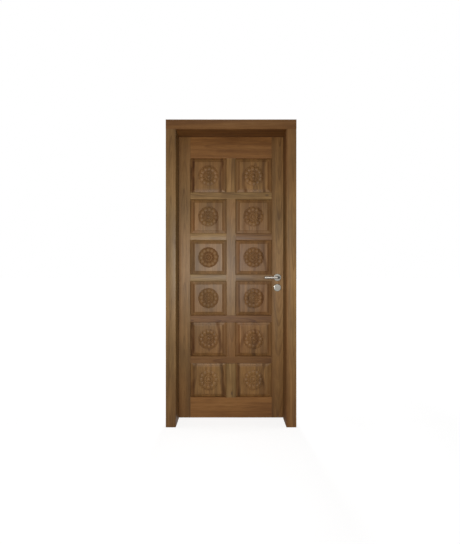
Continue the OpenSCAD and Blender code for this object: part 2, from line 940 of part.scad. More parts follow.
// A hollow case, open towards the faceplate, with a bearing for each follower in both walls
module lock_case() {
    inner_t = case_t / 2 - case_wall;
    color("dimgray")
    difference() {
        block([case_x0, mid_y - case_t / 2, case_z0], [case_x1, mid_y + case_t / 2, case_z1]);
        block(
            [case_x0 + case_wall, mid_y - inner_t, case_z0 + case_wall],
            [case_x1 + EPS, mid_y + inner_t, case_z1 - case_wall]
        );
        at_lever() bar_y(follower_r + run_gap, leaf_y0, leaf_y1);
        at_turn() bar_y(turn_follower_r + run_gap, leaf_y0, leaf_y1);
        rose_bolt_holes(leaf_y0, leaf_y1);
    }
}

// The holes for the latch and the dead bolt in the faceplate
module faceplate_holes() {
    half_t = bolt_t / 2 + slide_gap;
    for (span = [[latch_z0, latch_z1], [turn_z - bolt_h / 2, turn_z + bolt_h / 2]])
        block(
            [case_x1 - EPS, mid_y - half_t, span[0] - slide_gap],
            [leaf_x + EPS, mid_y + half_t, span[1] + slide_gap]
        );
}

module faceplate() {
    color("silver")
    difference() {
        block(
            [case_x1, mid_y - faceplate_w / 2, faceplate_z0],
            [leaf_x, mid_y + faceplate_w / 2, faceplate_z1]
        );
        faceplate_holes();
        faceplate_screw_places() screw_hole();
    }
}

// The latch: a bevelled head, a tail over the follower's arm and a hook that the arm draws back
module latch_bolt() {
    half_t = bolt_t / 2;
    tip_x = leaf_x + latch_throw;
    color("silver") {
        along_z(latch_z0, latch_z1)
            polygon([
                [latch_x0, mid_y - half_t],
                [leaf_x, mid_y - half_t],
                [tip_x, mid_y + half_t - latch_edge],
                [tip_x, mid_y + half_t],
                [latch_x0, mid_y + half_t]
            ]);
        block(
            [hook_x - latch_hook_t, mid_y - arm_t / 2, latch_tail_z],
            [latch_x0 + EPS, mid_y + arm_t / 2, latch_z1]
        );
        block(
            [hook_x - latch_hook_t, mid_y - arm_t / 2, latch_z0],
            [hook_x, mid_y + arm_t / 2, latch_z1]
        );
    }
}

// The lever's follower: a hub with a square hole and an arm that ends in a round tip
module follower() {
    color("dimgray")
    at_lever()
        difference() {
            union() {
                bar_y(follower_r, mid_y - case_t / 2, mid_y + case_t / 2);
                block(
                    [-follower_tip_r, mid_y - arm_t / 2, 0],
                    [follower_tip_r, mid_y + arm_t / 2, follower_arm]
                );
                translate([0, 0, follower_arm])
                    bar_y(follower_tip_r, mid_y - arm_t / 2, mid_y + arm_t / 2);
            }
            square_bar(spindle_w + 2 * run_gap, leaf_y0, leaf_y1);
        }
}

module square_bar(width, y0, y1) {
    block([-width / 2, y0, -width / 2], [width / 2, y1, width / 2]);
}

// The dead bolt: a square head, and a tail over the follower with a fork for its tip
module dead_bolt() {
    half_t = bolt_t / 2;
    color("silver")
    difference() {
        union() {
            block(
                [bolt_x0, mid_y - half_t, turn_z - bolt_h / 2],
                [bolt_x1, mid_y + half_t, turn_z + bolt_h / 2]
            );
            block(
                [fork_x - fork_r - fork_wall, mid_y - arm_t / 2, bolt_tail_z],
                [bolt_x0 + bolt_tail_h, mid_y + arm_t / 2, bolt_tail_z + bolt_tail_h]
            );
        }
        block(
            [fork_x - fork_r, mid_y - arm_t, bolt_tail_z - EPS],
            [fork_x + fork_r, mid_y + arm_t, turn_z + turn_arm + turn_tip_r + pass_gap / 2]
        );
    }
}

// The turn's follower, with its arm leaning away from the faceplate while the bolt is drawn
module turn_follower() {
    color("dimgray")
    at_turn()
        difference() {
            union() {
                bar_y(turn_follower_r, mid_y - case_t / 2, mid_y + case_t / 2);
                rotate([0, -turn_angle / 2, 0]) {
                    block(
                        [-turn_arm_r, mid_y - arm_t / 2, 0],
                        [turn_arm_r, mid_y + arm_t / 2, turn_arm]
                    );
                    translate([0, 0, turn_arm])
                        bar_y(turn_tip_r, mid_y - arm_t / 2, mid_y + arm_t / 2);
                }
            }
            square_bar(turn_spindle_w + 2 * run_gap, leaf_y0, leaf_y1);
        }
}

// Roses, levers and turn

// A rose is a turned disc on the leaf's front face, round its own axis
module rose(bore_r) {
    translate([0, leaf_y0, 0])
        rotate([90, 0, 0])
            rotate_extrude()
                difference() {
                    union() {
                        square([rose_d / 2, rose_t - rose_round]);
                        square([rose_d / 2 - rose_round, rose_t]);
                        translate([rose_d / 2 - rose_round, rose_t - rose_round]) circle(r = rose_round);
                    }
                    square([bore_r, rose_t + EPS]);
                }
}

module front_lever_rose() {
    color("silver")
    difference() {
        at_lever() rose(neck_r + run_gap);
        rose_threads();
    }
}

module front_turn_rose() {
    color("silver")
    difference() {
        at_turn() rose(button_r + run_gap);
        rose_threads();
    }
}

// The blind threads in the back of the front roses
module rose_threads() {
    rose_bolt_places() bar_y(rose_bolt_r + run_gap, leaf_y0 - rose_thread - slide_gap, leaf_y0 + EPS);
}

module rear_lever_rose() {
    color("silver")
    difference() {
        turned_to_rear() at_lever() rose(neck_r + run_gap);
        rose_bolt_sinkings();
    }
}

module rear_turn_rose() {
    color("silver")
    difference() {
        turned_to_rear() at_turn() rose(button_r + run_gap);
        rose_bolt_sinkings();
    }
}

// The rear roses are drilled and countersunk for the bolts
module rose_bolt_sinkings() {
    rose_bolt_places()
        rose_bolt_shape(rose_bolt_r + run_gap, run_gap, leaf_y1 - EPS);
}

// A countersunk bolt that ends flush with the rear rose
module rose_bolt_shape(r, grow, y0) {
    face_y = mid_y + rose_y;
    bar_y(r, y0, face_y + (grow > 0 ? EPS : 0));
    translate([0, face_y + (grow > 0 ? EPS : 0), 0])
        rotate([90, 0, 0])
            cylinder(r1 = 2 * rose_bolt_r + grow, r2 = r, h = rose_bolt_r);
}

module rose_bolts() {
    color("gainsboro")
    rose_bolt_places()
        difference() {
            rose_bolt_shape(rose_bolt_r, 0, leaf_y0 - rose_thread);
            translate([-screw_slot_w / 2, mid_y + rose_y - screw_slot_d, -2 * rose_bolt_r - EPS])
                cube([screw_slot_w, screw_slot_d + EPS, 4 * rose_bolt_r + 2 * EPS]);
        }
}

// A lever: a neck on the axis and a straight round grip that runs from it to a rounded tip
module lever() {
    grip_y = leaf_y0 - grip_off;
    end_y = grip_y - neck_r;
    foot_y = leaf_y0 - neck_gap;
    difference() {
        union() {
            bar_y(neck_r, end_y + neck_ease, foot_y);
            translate([0, end_y + neck_ease, 0])
                rotate([90, 0, 0])
                    cylinder(r1 = neck_r, r2 = neck_r - neck_ease, h = neck_ease);
            translate([0, grip_y, 0]) {
                bar_x(grip_r, grip_r - grip_l, 0);
                translate([grip_r - grip_l, 0, 0]) sphere(r = grip_r);
            }
        }
        square_bar(spindle_w + 2 * run_gap, leaf_y0 - spindle_hold - slide_gap, leaf_y0);
    }
}

module front_lever() {
    color("silver")
    at_lever() lever();
}

module rear_lever() {
    color("silver")
    turned_to_rear() at_lever() lever();
}

module spindle() {
    color("dimgray")
    at_lever() square_bar(spindle_w, leaf_y0 - spindle_hold, leaf_y1 + spindle_hold);
}

// The coin release turns in its rose, and its slot lies on the slant
module coin_release() {
    face_y = mid_y - rose_y - button_proud;
    color("silver")
    at_turn()
        difference() {
            bar_y(button_r, face_y, leaf_y0 - neck_gap);
            rotate([0, coin_slot_slant, 0])
                block(
                    [-coin_slot_l / 2, face_y - EPS, -coin_slot_w / 2],
                    [coin_slot_l / 2, face_y + coin_slot_d, coin_slot_w / 2]
                );
            square_bar(turn_spindle_w + 2 * run_gap, leaf_y0 - turn_spindle_out - slide_gap, leaf_y0);
        }
}

// The thumb turn has a round foot in its rose and a wing with rounded ends
module thumb_turn() {
    face_y = mid_y + rose_y;
    half_l = (wing_l - wing_t) / 2;
    color("silver")
    at_turn()
        difference() {
            union() {
                bar_y(button_r, leaf_y1 + neck_gap, face_y + button_proud);
                block(
                    [-wing_t / 2, face_y + button_proud - EPS, -half_l],
                    [wing_t / 2, face_y + wing_out, half_l]
                );
                for (side = [-1, 1])
                    translate([0, 0, side * half_l])
                        bar_y(wing_t / 2, face_y + button_proud - EPS, face_y + wing_out);
            }
            square_bar(turn_spindle_w + 2 * run_gap, leaf_y1, leaf_y1 + turn_spindle_out + slide_gap);
        }
}

module turn_spindle() {
    color("dimgray")
    at_turn() square_bar(turn_spindle_w, leaf_y0 - turn_spindle_out, leaf_y1 + turn_spindle_out);
}

hinge_jamb();
lock_jamb();
head();
strike_plate();
frame_screws();
hinge_stile();
lock_stile();
top_rail();
bottom_rail();
cross_rail(4);  // upper_cross_rail
cross_rail(1);  // lower_cross_rail
cross_rail(0);  // base_cross_rail
short_rail(0, 3);  // left_upper_short_rail
short_rail(1, 3);  // right_upper_short_rail
short_rail(0, 2);  // left_lower_short_rail
short_rail(1, 2);  // right_lower_short_rail
muntin(5, 5);  // top_muntin
muntin(2, 4);  // long_muntin
muntin(1, 1);  // lower_muntin
muntin(0, 0);  // base_muntin
for (row = [0 : ROWS - 1], col = [0, 1])
    carved_panel(row, col);
for (k = HINGES) {
    hinge_plate(-1, hinge_z[k]);
    hinge_plate(1, hinge_z[k]);
    hinge_pin(hinge_z[k]);
}
leaf_screws();
lock_case();
faceplate();
rose_bolts();
front_lever_rose();
rear_lever_rose();
front_turn_rose();
rear_turn_rose();
front_lever();
rear_lever();
spindle();
follower();
latch_bolt();
coin_release();
thumb_turn();
turn_spindle();
turn_follower();
dead_bolt();
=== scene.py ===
# %% [markdown]
# # A carved panel door in its frame
# The door is joiner's work: a solid frame of two jambs and a head, and a leaf of stiles, rails and
# muntins round twelve raised panels, each with a rosette carved in it. The imported model already has
# every piece at its true size. This lesson gives those pieces their finish: wood with a grain that
# runs along each board, carving that can be seen from close by, and satin steel.
# The first cell loads the imported model and gives a way to read each piece's box.

# %% Load the imported model
import math
import random
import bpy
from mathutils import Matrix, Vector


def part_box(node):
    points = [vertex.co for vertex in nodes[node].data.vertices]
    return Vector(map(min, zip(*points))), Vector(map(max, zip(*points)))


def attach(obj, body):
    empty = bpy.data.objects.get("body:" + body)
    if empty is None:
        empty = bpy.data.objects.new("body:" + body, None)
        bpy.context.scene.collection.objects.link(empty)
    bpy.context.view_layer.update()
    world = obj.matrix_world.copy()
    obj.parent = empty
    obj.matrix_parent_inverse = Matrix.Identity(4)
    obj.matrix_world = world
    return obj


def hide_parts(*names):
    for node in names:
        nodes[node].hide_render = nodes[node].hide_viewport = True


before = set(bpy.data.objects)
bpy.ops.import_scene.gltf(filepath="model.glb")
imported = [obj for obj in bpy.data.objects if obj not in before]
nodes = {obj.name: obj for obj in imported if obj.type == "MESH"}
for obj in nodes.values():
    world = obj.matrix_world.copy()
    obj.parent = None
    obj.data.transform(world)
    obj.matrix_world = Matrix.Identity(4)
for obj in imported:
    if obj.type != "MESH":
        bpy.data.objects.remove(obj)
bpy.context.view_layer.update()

from types import SimpleNamespace

import bmesh
import bpy
import numpy as np
from mathutils import Vector

MM = 0.001

# %% [markdown]
# ## Camera
# The photograph was taken straight on, level with the middle of the door, and from close by: the
# reveals of the frame show on both sides at once. A short lens at that distance gives the same
# view. The sensor's width counts along the picture's long side, which is upright here.

# %% Camera
CAMERA_AT = (-7.7 * MM, -1845 * MM, 1090.4 * MM)
LENS_MM = 16.7
SENSOR_MM = 36
LEVEL = math.radians(90)

camera_data = bpy.data.cameras.new("camera")
camera_data.lens = LENS_MM
camera_data.sensor_width = SENSOR_MM
camera = bpy.data.objects.new("camera", camera_data)
camera.location = CAMERA_AT
camera.rotation_euler = (LEVEL, 0, 0)
bpy.context.scene.collection.objects.link(camera)
bpy.context.scene.camera = camera
print("camera at", [round(c, 3) for c in camera.location])

# %% [markdown]
# ## Formulas as nodes
# Wood grain and carved petals both follow formulas. Drawn by hand, a formula is a long chain of
# Math nodes. The small class below lets it be written as arithmetic instead: each operation on a
# Term adds one Math node to the tree and gives the Term of its result. It serves shader trees and
# Geometry Nodes trees alike.

# %% A term of a node formula
def plug(tree, value, socket):
    """Feeds a socket from a Term, or sets it to a plain value."""
    if isinstance(value, Term):
        tree.links.new(value.source, socket)
    else:
        socket.default_value = value


class Term:
    """One number in a node tree. Arithmetic on it adds Math nodes."""

    def __init__(self, tree, source):
        self.tree = tree
        self.source = source

    def math(self, operation, *others):
        node = self.tree.nodes.new("ShaderNodeMath")
        node.operation = operation
        for socket, value in zip(node.inputs, (self, *others)):
            plug(self.tree, value, socket)
        return Term(self.tree, node.outputs[0])

    def __add__(self, other):
        return self.math("ADD", other)

    def __sub__(self, other):
        return self.math("SUBTRACT", other)

    def __mul__(self, other):
        return self.math("MULTIPLY", other)

    def __truediv__(self, other):
        return self.math("DIVIDE", other)

    def root(self):
        """The square root, or 0 below 0."""
        return self.math("MAXIMUM", 0.0).math("SQRT")

    def between(self, low, high):
        """The number, held between two limits."""
        return self.math("MAXIMUM", low).math("MINIMUM", high)


def split(tree, vector):
    """The three parts of a vector socket, as Terms."""
    node = tree.nodes.new("ShaderNodeSeparateXYZ")
    tree.links.new(vector, node.inputs[0])
    return [Term(tree, part) for part in node.outputs]


def join(tree, x, y, z):
    """A vector socket made of three Terms or numbers."""
    node = tree.nodes.new("ShaderNodeCombineXYZ")
    for value, socket in zip((x, y, z), node.inputs):
        plug(tree, value, socket)
    return node.outputs[0]


def noise(tree, vector, detail):
    """Smooth noise round 0, between -0.5 and 0.5, at a vector socket, as a Term."""
    node = tree.nodes.new("ShaderNodeTexNoise")
    node.noise_dimensions = "3D"
    tree.links.new(vector, node.inputs["Vector"])
    node.inputs["Scale"].default_value = 1.0
    node.inputs["Detail"].default_value = detail
    return Term(tree, node.outputs[0]) - 0.5


print("formula helper ready")

# %% [markdown]
# ## The wood
# The door is stained and lacquered hardwood. A board is sawn out of a log, so its pattern is best
# thought of in the log: rings round the pith, streaks and pores along it. Each board carries an
# attribute, "log", that says where in its log each point lies. The rings then run through all its
# faces and show as arches, lines or end grain, as they do on sawn wood, and one material serves
# every board.
# The first cell has small helpers for material trees, which the steel needs too.

# %% Material helpers
def new_material(name):
    """An empty node material, with its tree and its Principled shader."""
    material = bpy.data.materials.new(name)
    material.use_nodes = True
    tree = material.node_tree
    return material, tree, tree.nodes["Principled BSDF"]


def attribute(tree, name):
    """The node that reads an attribute of the mesh."""
    node = tree.nodes.new("ShaderNodeAttribute")
    node.attribute_name = name
    return node


def stored(tree, name):
    """The three parts of a vector that a board stores, as Terms."""
    return split(tree, attribute(tree, name).outputs["Vector"])


def object_place(tree):
    """The place in the object's own frame, as three Terms."""
    return split(tree, tree.nodes.new("ShaderNodeTexCoord").outputs["Object"])


def ramp(tree, factor, stops):
    """A colour ramp over (place, colour) stops."""
    node = tree.nodes.new("ShaderNodeValToRGB")
    elements = node.color_ramp.elements
    while len(elements) < len(stops):
        elements.new(0.5)
    for element, (place, colour) in zip(elements, stops):
        element.position = place
        element.color = (*colour, 1)
    plug(tree, factor, node.inputs["Fac"])
    return node.outputs["Color"]


def blend_colour(tree, factor, first, second, kind="MIX"):
    """Mixes two colours, each a socket or a plain colour."""
    node = tree.nodes.new("ShaderNodeMix")
    node.data_type = "RGBA"
    node.blend_type = kind
    plug(tree, factor, node.inputs[0])
    for socket, value in ((node.inputs[6], first), (node.inputs[7], second)):
        if isinstance(value, tuple):
            socket.default_value = (*value, 1)
        else:
            tree.links.new(value, socket)
    return node.outputs[2]


def bump(tree, shader, height, distance, strength):
    """Gives a shader a relief too fine to model."""
    node = tree.nodes.new("ShaderNodeBump")
    node.inputs["Distance"].default_value = distance
    node.inputs["Strength"].default_value = strength
    plug(tree, height, node.inputs["Height"])
    tree.links.new(node.outputs[0], shader.inputs["Normal"])


print("material helpers ready")

# %% [markdown]
# ### The pattern in the log
# Each part of the pattern is noise that is drawn out along the log: wide and soft for clouds of
# colour, narrow for streaks, very fine for fibres and pores. The rings are the distance from the pith,
# with a slow wander so that they aren't true circles. Late wood is the dark end of each ring, and some
# years have more of it than others.

# %% Pattern in the log
RING = 4.5 * MM
RING_WOBBLE = 16 * MM
LATE_FROM, LATE_RISE, LATE_FALL = 0.40, 0.48, 0.12
YEAR_STEP = 0.71
YEAR_SPREAD, YEAR_MEAN, YEAR_LEAST = 3.0, 0.55, 0.1
PORE_SHARP, PORE_SPARSE = 7.0, 0.9
# Each part's width across the grain and length along it, in metres, and its detail
GRAIN = {
    "wander": (0.11, 0.9, 2.0),
    "streak": (0.020, 0.75, 4.0),
    "fibre": (0.0022, 0.10, 2.0),
    "pore": (0.0009, 0.028, 1.0),
    "cloud": (0.12, 0.5, 2.0),
    "bend": (0.25, 0.16, 1.0),
    "fade": (0.06, 0.13, 1.0),
}


def late_wood(tree, years):
    """The dark end of each ring, stronger in some years than in others."""
    ring = years.math("FRACT")
    rise = ((ring - LATE_FROM) / LATE_RISE).between(0.0, 1.0)
    fall = ((ring * -1.0 + 1.0) / LATE_FALL).between(0.0, 1.0)
    year = noise(tree, join(tree, years.math("FLOOR") * YEAR_STEP, 0.0, 0.0), 0.0)
    return rise * fall * (year * YEAR_SPREAD + YEAR_MEAN).between(YEAR_LEAST, 1.0)


def log_pattern(tree):
    """The parts of the wood's pattern, as Terms by name."""
    u, v, w = stored(tree, "log")
    parts = {}
    for name, (width, length, detail) in GRAIN.items():
        parts[name] = noise(tree, join(tree, u / width, v / width, w / length), detail)
    years = ((u * u + v * v).root() + parts["wander"] * RING_WOBBLE) / RING
    parts["late"] = late_wood(tree, years)
    parts["pore"] = (parts["pore"] * PORE_SHARP - PORE_SPARSE).between(0.0, 1.0)
    return SimpleNamespace(**parts)


print("pattern of", len(GRAIN), "noises and late wood")

# %% [markdown]
# ### What is a board's own
# More attributes belong to the single board: "tone" (lightness, redness and strength of figure),
# "board" (place on the board's face), "marks" (where two dark streaks lie, and their strength), "knot"
# (where a knot lies, and its radius), "rim" (painted shade along the edge next to the reveal: where,
# how far in and how much) and "wax_and_painted_shade", dark wax with painted shade in the recesses of
# the carving. Streaks, knots, wax and painted shade bend or break up with the grain.

# %% Streaks, knots, wax and painted shade
STREAK_W = 17 * MM
STREAK_WANDER, STREAK_BEND = 40 * MM, 70 * MM
BREAK_STREAK, BREAK_FADE, BREAK_MEAN, BREAK_MOST = 1.6, 3.0, 0.75, 1.2
KNOT_LONG = 2.2
KNOT_WANDER = 3 * MM
KNOT_FULL = 1.25
# How unevenly the dark wax and the painted shade lie, by the grain
WIPE_CLOUD, WIPE_STREAK, WIPE_MEAN = 1.6, 1.2, 0.9
WIPE_RANGE = (0.4, 1.3)
TINY = 1e-6


def dark_streaks(tree, grain, across):
    """Two dark streaks along the board, which bend and break off with the grain."""
    first, second, depth = stored(tree, "marks")

    def line(place):
        off = (across - place + grain.wander * STREAK_WANDER + grain.bend * STREAK_BEND) / STREAK_W
        return (off * off * -1.0 + 1.0).between(0.0, 1.0)

    broken = grain.streak * BREAK_STREAK + grain.fade * BREAK_FADE + BREAK_MEAN
    return (line(first) + line(second)) * broken.between(0.0, BREAK_MOST) * depth


def knot_cover(tree, grain, across, along):
    """1 in a knot, 0 outside it."""
    knot_across, knot_along, radius = stored(tree, "knot")
    x = across - knot_across
    z = (along - knot_along) / KNOT_LONG
    off = (x * x + z * z).root() + grain.wander * KNOT_WANDER
    return (off / (radius + TINY) * -1.0 + KNOT_FULL).between(0.0, 1.0)


def wax_and_shade_cover(tree, grain, across):
    """Dark wax with painted shade in recesses, and painted shade along an edge by the reveal, uneven by
    the grain.
    """
    # Dark wax with painted shade in the carving's recesses, stored by the panel tree
    left = Term(tree, attribute(tree, "wax_and_painted_shade").outputs["Fac"])
    # Painted shade along an edge next to the reveal
    place, reach, depth = stored(tree, "rim")
    rim = (across - place).math("ABSOLUTE") / (reach + TINY) * -1.0 + 1.0
    wiped = grain.cloud * WIPE_CLOUD + grain.streak * WIPE_STREAK + WIPE_MEAN
    return (left + rim.between(0.0, 1.0) * depth) * wiped.between(*WIPE_RANGE)


print("streaks, knots and wax ready")

# %% [markdown]
# ### Stain and lacquer
# The pattern decides how pale each point is. Two ramps turn that into colour, one olive and one red,
# and the redness blends them. Boards out of one pile differ most in just that, so two ramps can match
# every board. Pores, knots and dark wax with painted shade come on top, and the board's own lightness
# scales the result. A painted light falloff follows the height above the floor: the wood is painted
# palest and least red at the front lamp's height, and darker and redder towards the head and the floor.
# The lacquer is a satin one: smoother on the fibres, duller in pores, streaks, wax and painted shade.

# %% Wood material
OLIVE_BROWN = [
    (0.00, (0.046, 0.023, 0.006)),
    (0.35, (0.125, 0.068, 0.021)),
    (0.62, (0.215, 0.131, 0.046)),
    (1.00, (0.345, 0.236, 0.104)),
]
RED_BROWN = [
    (0.00, (0.050, 0.017, 0.004)),
    (0.35, (0.135, 0.052, 0.012)),
    (0.62, (0.228, 0.100, 0.027)),
    (1.00, (0.345, 0.178, 0.064)),
]
PORE_BROWN = (0.05, 0.028, 0.012)
KNOT_BROWN = (0.050, 0.024, 0.011)
# Dark wax with painted shade multiplies this colour into the wood, in recesses and along edges next to
# the reveal
WAX_AND_SHADE_BROWN = (0.52, 0.38, 0.26)
PORE_COVER, KNOT_COVER = 0.40, 0.85
# How much each part of the pattern pales or darkens the wood, from a middle place on the ramps
STREAK_PALE, FIBRE_PALE, CLOUD_PALE, FADE_PALE = 0.65, 0.40, 0.5, 0.35
LATE_DARK, MARK_DARK = 0.34, 0.23
RAMP_MIDDLE = 0.57
# How much each part reddens it
CLOUD_RED, STREAK_RED, RED_MIDDLE = 0.9, 0.5, 0.4
# Painted light falloff: the wood is painted palest at the front lamp's height, and darker and redder
# above and below it
PAINTED_LIGHT_Z, PAINTED_LIGHT_REACH = 1.13, 1.05
PAINTED_SHADE_RED, PAINTED_SHADE_DARK = 0.45, 0.08
# Roughness and relief of the lacquered face
LACQUER_ROUGH, ROUGH_RANGE = 0.46, (0.36, 0.85)
FIBRE_ROUGH, PORE_ROUGH, WAX_SHADE_ROUGH, MARK_ROUGH = -0.10, 0.15, 0.35, 0.15
LACQUER_SPECULAR = 0.24
FIBRE_RISE, PORE_SINK, LATE_SINK = 0.4, 0.6, 0.2
RELIEF, RELIEF_SHARE = 0.4 * MM, 0.35


def stained_wood():
    """Stained hardwood, whose pattern comes from the board's own attributes."""
    material, tree, shader = new_material("stained_wood")
    grain = log_pattern(tree)
    light, red, figure = stored(tree, "tone")
    across, _, along = stored(tree, "board")
    marks = dark_streaks(tree, grain, across)
    knot = knot_cover(tree, grain, across, along)
    wax = wax_and_shade_cover(tree, grain, across)
    late = grain.late * figure
    _, _, height = object_place(tree)
    # Painted light falloff: 0 at the front lamp's height, growing towards the head and the floor
    painted_falloff = ((height - PAINTED_LIGHT_Z) / PAINTED_LIGHT_REACH).math("POWER", 2.0)

    pale = grain.streak * STREAK_PALE + grain.fibre * FIBRE_PALE + grain.cloud * CLOUD_PALE
    pale = pale + grain.fade * figure * FADE_PALE
    pale = pale - late * LATE_DARK - marks * MARK_DARK + RAMP_MIDDLE
    redness = red + painted_falloff * PAINTED_SHADE_RED + grain.cloud * CLOUD_RED + grain.streak * STREAK_RED + RED_MIDDLE
    olive = ramp(tree, pale, OLIVE_BROWN)
    reddish = ramp(tree, pale, RED_BROWN)
    colour = blend_colour(tree, redness.between(0.0, 1.0), olive, reddish)
    colour = blend_colour(tree, grain.pore * PORE_COVER, colour, PORE_BROWN)
    colour = blend_colour(tree, knot * KNOT_COVER, colour, KNOT_BROWN)
    # Painted shade, with dark wax in the recesses, multiplies the colour
    colour = blend_colour(tree, wax, colour, WAX_AND_SHADE_BROWN, "MULTIPLY")
    lighten = tree.nodes.new("ShaderNodeVectorMath")
    lighten.operation = "SCALE"
    tree.links.new(colour, lighten.inputs[0])
    plug(tree, light * (painted_falloff * -PAINTED_SHADE_DARK + 1.0), lighten.inputs["Scale"])
    tree.links.new(lighten.outputs[0], shader.inputs["Base Color"])

    rough = grain.fibre * FIBRE_ROUGH + grain.pore * PORE_ROUGH + wax * WAX_SHADE_ROUGH + marks * MARK_ROUGH
    rough = rough + LACQUER_ROUGH
    plug(tree, rough.between(*ROUGH_RANGE), shader.inputs["Roughness"])
    shader.inputs["Specular IOR Level"].default_value = LACQUER_SPECULAR
    relief = grain.fibre * FIBRE_RISE - grain.pore * PORE_SINK - late * LATE_SINK
    bump(tree, shader, relief, RELIEF, RELIEF_SHARE)
    return material


wood = stained_wood()
print("wood material:", len(wood.node_tree.nodes), "nodes")

# %% [markdown]
# ## Boards
# The stiles, rails, muntins and jambs are planed boards with their sharp edges eased by a pass of
# sandpaper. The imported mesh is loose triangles, so each board is a merged copy of its node: flat
# triangles are dissolved into whole faces, and the long outer edges get a narrow round. Short edges,
# such as those of screw holes, stay as they are.
# A board is then given its place in a log. Its pith lies behind the face, a little off centre and
# not quite parallel to the board, which is what draws arches on a flat-sawn face.

# %% Board helpers
SHARP = math.radians(30)
FACET = math.radians(18)
FLAT = math.radians(0.5)
LONG_EDGE = 14 * MM
EASE_STEPS = 2
WELD = 1e-6
# Where a board's pith may lie, in millimetres from its middle, how far it leans on each metre, and
# where along the log the board may come from, in metres
PITH_ASIDE, PITH_BEHIND = (-25, 25), (55, 100)
LEAN_ASIDE, LEAN_BACK = (-12, 12), (15, 40)
LOG_PLACE = (-40, 40)
# For a board without: nine metres off, and no strength
NO_MARKS = (9.0, 9.0, 0.0)
NO_KNOT = (9.0, 9.0, 0.0)
NO_EDGE_SHADE = (9.0, 0.0, 0.0)


def merged_copy(name):
    """A copy of a node's mesh with its triangles merged into whole flat faces."""
    mesh = bmesh.new()
    mesh.from_mesh(nodes[name].data)
    bmesh.ops.remove_doubles(mesh, verts=mesh.verts, dist=WELD)
    bmesh.ops.dissolve_limit(mesh, angle_limit=FLAT, verts=mesh.verts, edges=mesh.edges)
    return mesh


def to_object(mesh, name):
    """Makes an object at the origin out of a bmesh."""
    data = bpy.data.meshes.new(name)
    mesh.to_mesh(data)
    mesh.free()
    if "custom_normal" in data.attributes:
        data.attributes.remove(data.attributes["custom_normal"])
    piece = bpy.data.objects.new(name, data)
    bpy.context.scene.collection.objects.link(piece)
    return piece


def made_plain(piece, sharp):
    """Turns a piece with modifiers into a plain mesh, smooth but for edges over the sharp angle."""
    graph = bpy.context.evaluated_depsgraph_get()
    data = bpy.data.meshes.new_from_object(
        piece.evaluated_get(graph), preserve_all_data_layers=True, depsgraph=graph
    )
    piece.modifiers.clear()
    piece.data = data
    data.name = piece.name
    data.shade_smooth()
    data.set_sharp_from_angle(angle=sharp)
    return piece


def eased_copy(name, width, new_name):
    """A merged copy whose long outer edges are rounded to the given width."""
    mesh = merged_copy(name)
    weight = mesh.edges.layers.float.new("bevel_weight_edge")
    for edge in mesh.edges:
        long_edge = edge.calc_length() > LONG_EDGE
        if long_edge and edge.is_manifold and edge.calc_face_angle_signed() > SHARP:
            edge[weight] = 1.0
    piece = to_object(mesh, new_name)
    ease = piece.modifiers.new("ease", "BEVEL")
    ease.limit_method = "WEIGHT"
    ease.width = width
    ease.segments = EASE_STEPS
    ease.use_clamp_overlap = False
    return made_plain(piece, FACET)


def points_of(mesh):
    """The places of a mesh's vertices, one row each."""
    flat = np.zeros(len(mesh.vertices) * 3, np.float32)
    mesh.vertices.foreach_get("co", flat)
    return flat.reshape(-1, 3)


def put(mesh, name, values):
    """Stores a number or a vector for each vertex."""
    kind = "FLOAT_VECTOR" if values.ndim == 2 else "FLOAT"
    layer = mesh.attributes.get(name) or mesh.attributes.new(name, kind, "POINT")
    field = "vector" if values.ndim == 2 else "value"
    layer.data.foreach_set(field, np.ascontiguousarray(values, np.float32).ravel())


def saw_from_log(piece, along, tone, marks=NO_MARKS, knot=NO_KNOT, rim=NO_EDGE_SHADE):
    """Gives a board its place in a log, its tone, its dark streaks, its knot and a painted shade along
    one edge.
    """
    rng = random.Random(piece.name)
    points = points_of(piece.data)
    middle = (points.min(0) + points.max(0)) / 2
    order = [2, 1, 0] if along == "X" else [0, 1, 2]
    board = (points - middle)[:, order]
    pith = np.array([rng.uniform(*PITH_ASIDE), rng.uniform(*PITH_BEHIND), 0]) * MM
    lean = np.array([rng.uniform(*LEAN_ASIDE), rng.uniform(*LEAN_BACK) * rng.choice((-1, 1)), 0]) * MM
    log = board + pith + np.outer(board[:, 2], lean)
    log[:, 2] += rng.uniform(*LOG_PLACE)
    put(piece.data, "board", board)
    put(piece.data, "log", log)
    for name, value in (("tone", tone), ("marks", marks), ("knot", knot), ("rim", rim)):
        put(piece.data, name, np.tile(value, (len(points), 1)))


def dress(piece, node, body, material):
    """Lets a piece stand for a node, on the node's body."""
    piece.data.materials.clear()
    piece.data.materials.append(material)
    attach(piece, body)
    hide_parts(node)


print("board helpers ready")

# %% [markdown]
# ### The frame's and the leaf's boards
# Upright boards have their grain along Z, and the head and the rails along X. The tones follow the
# photograph: the rails that run through are redder, the jambs are a little olive.

# %% Frame and leaf boards
FRAME_EASE = 1.2 * MM
LEAF_EASE = 0.6 * MM

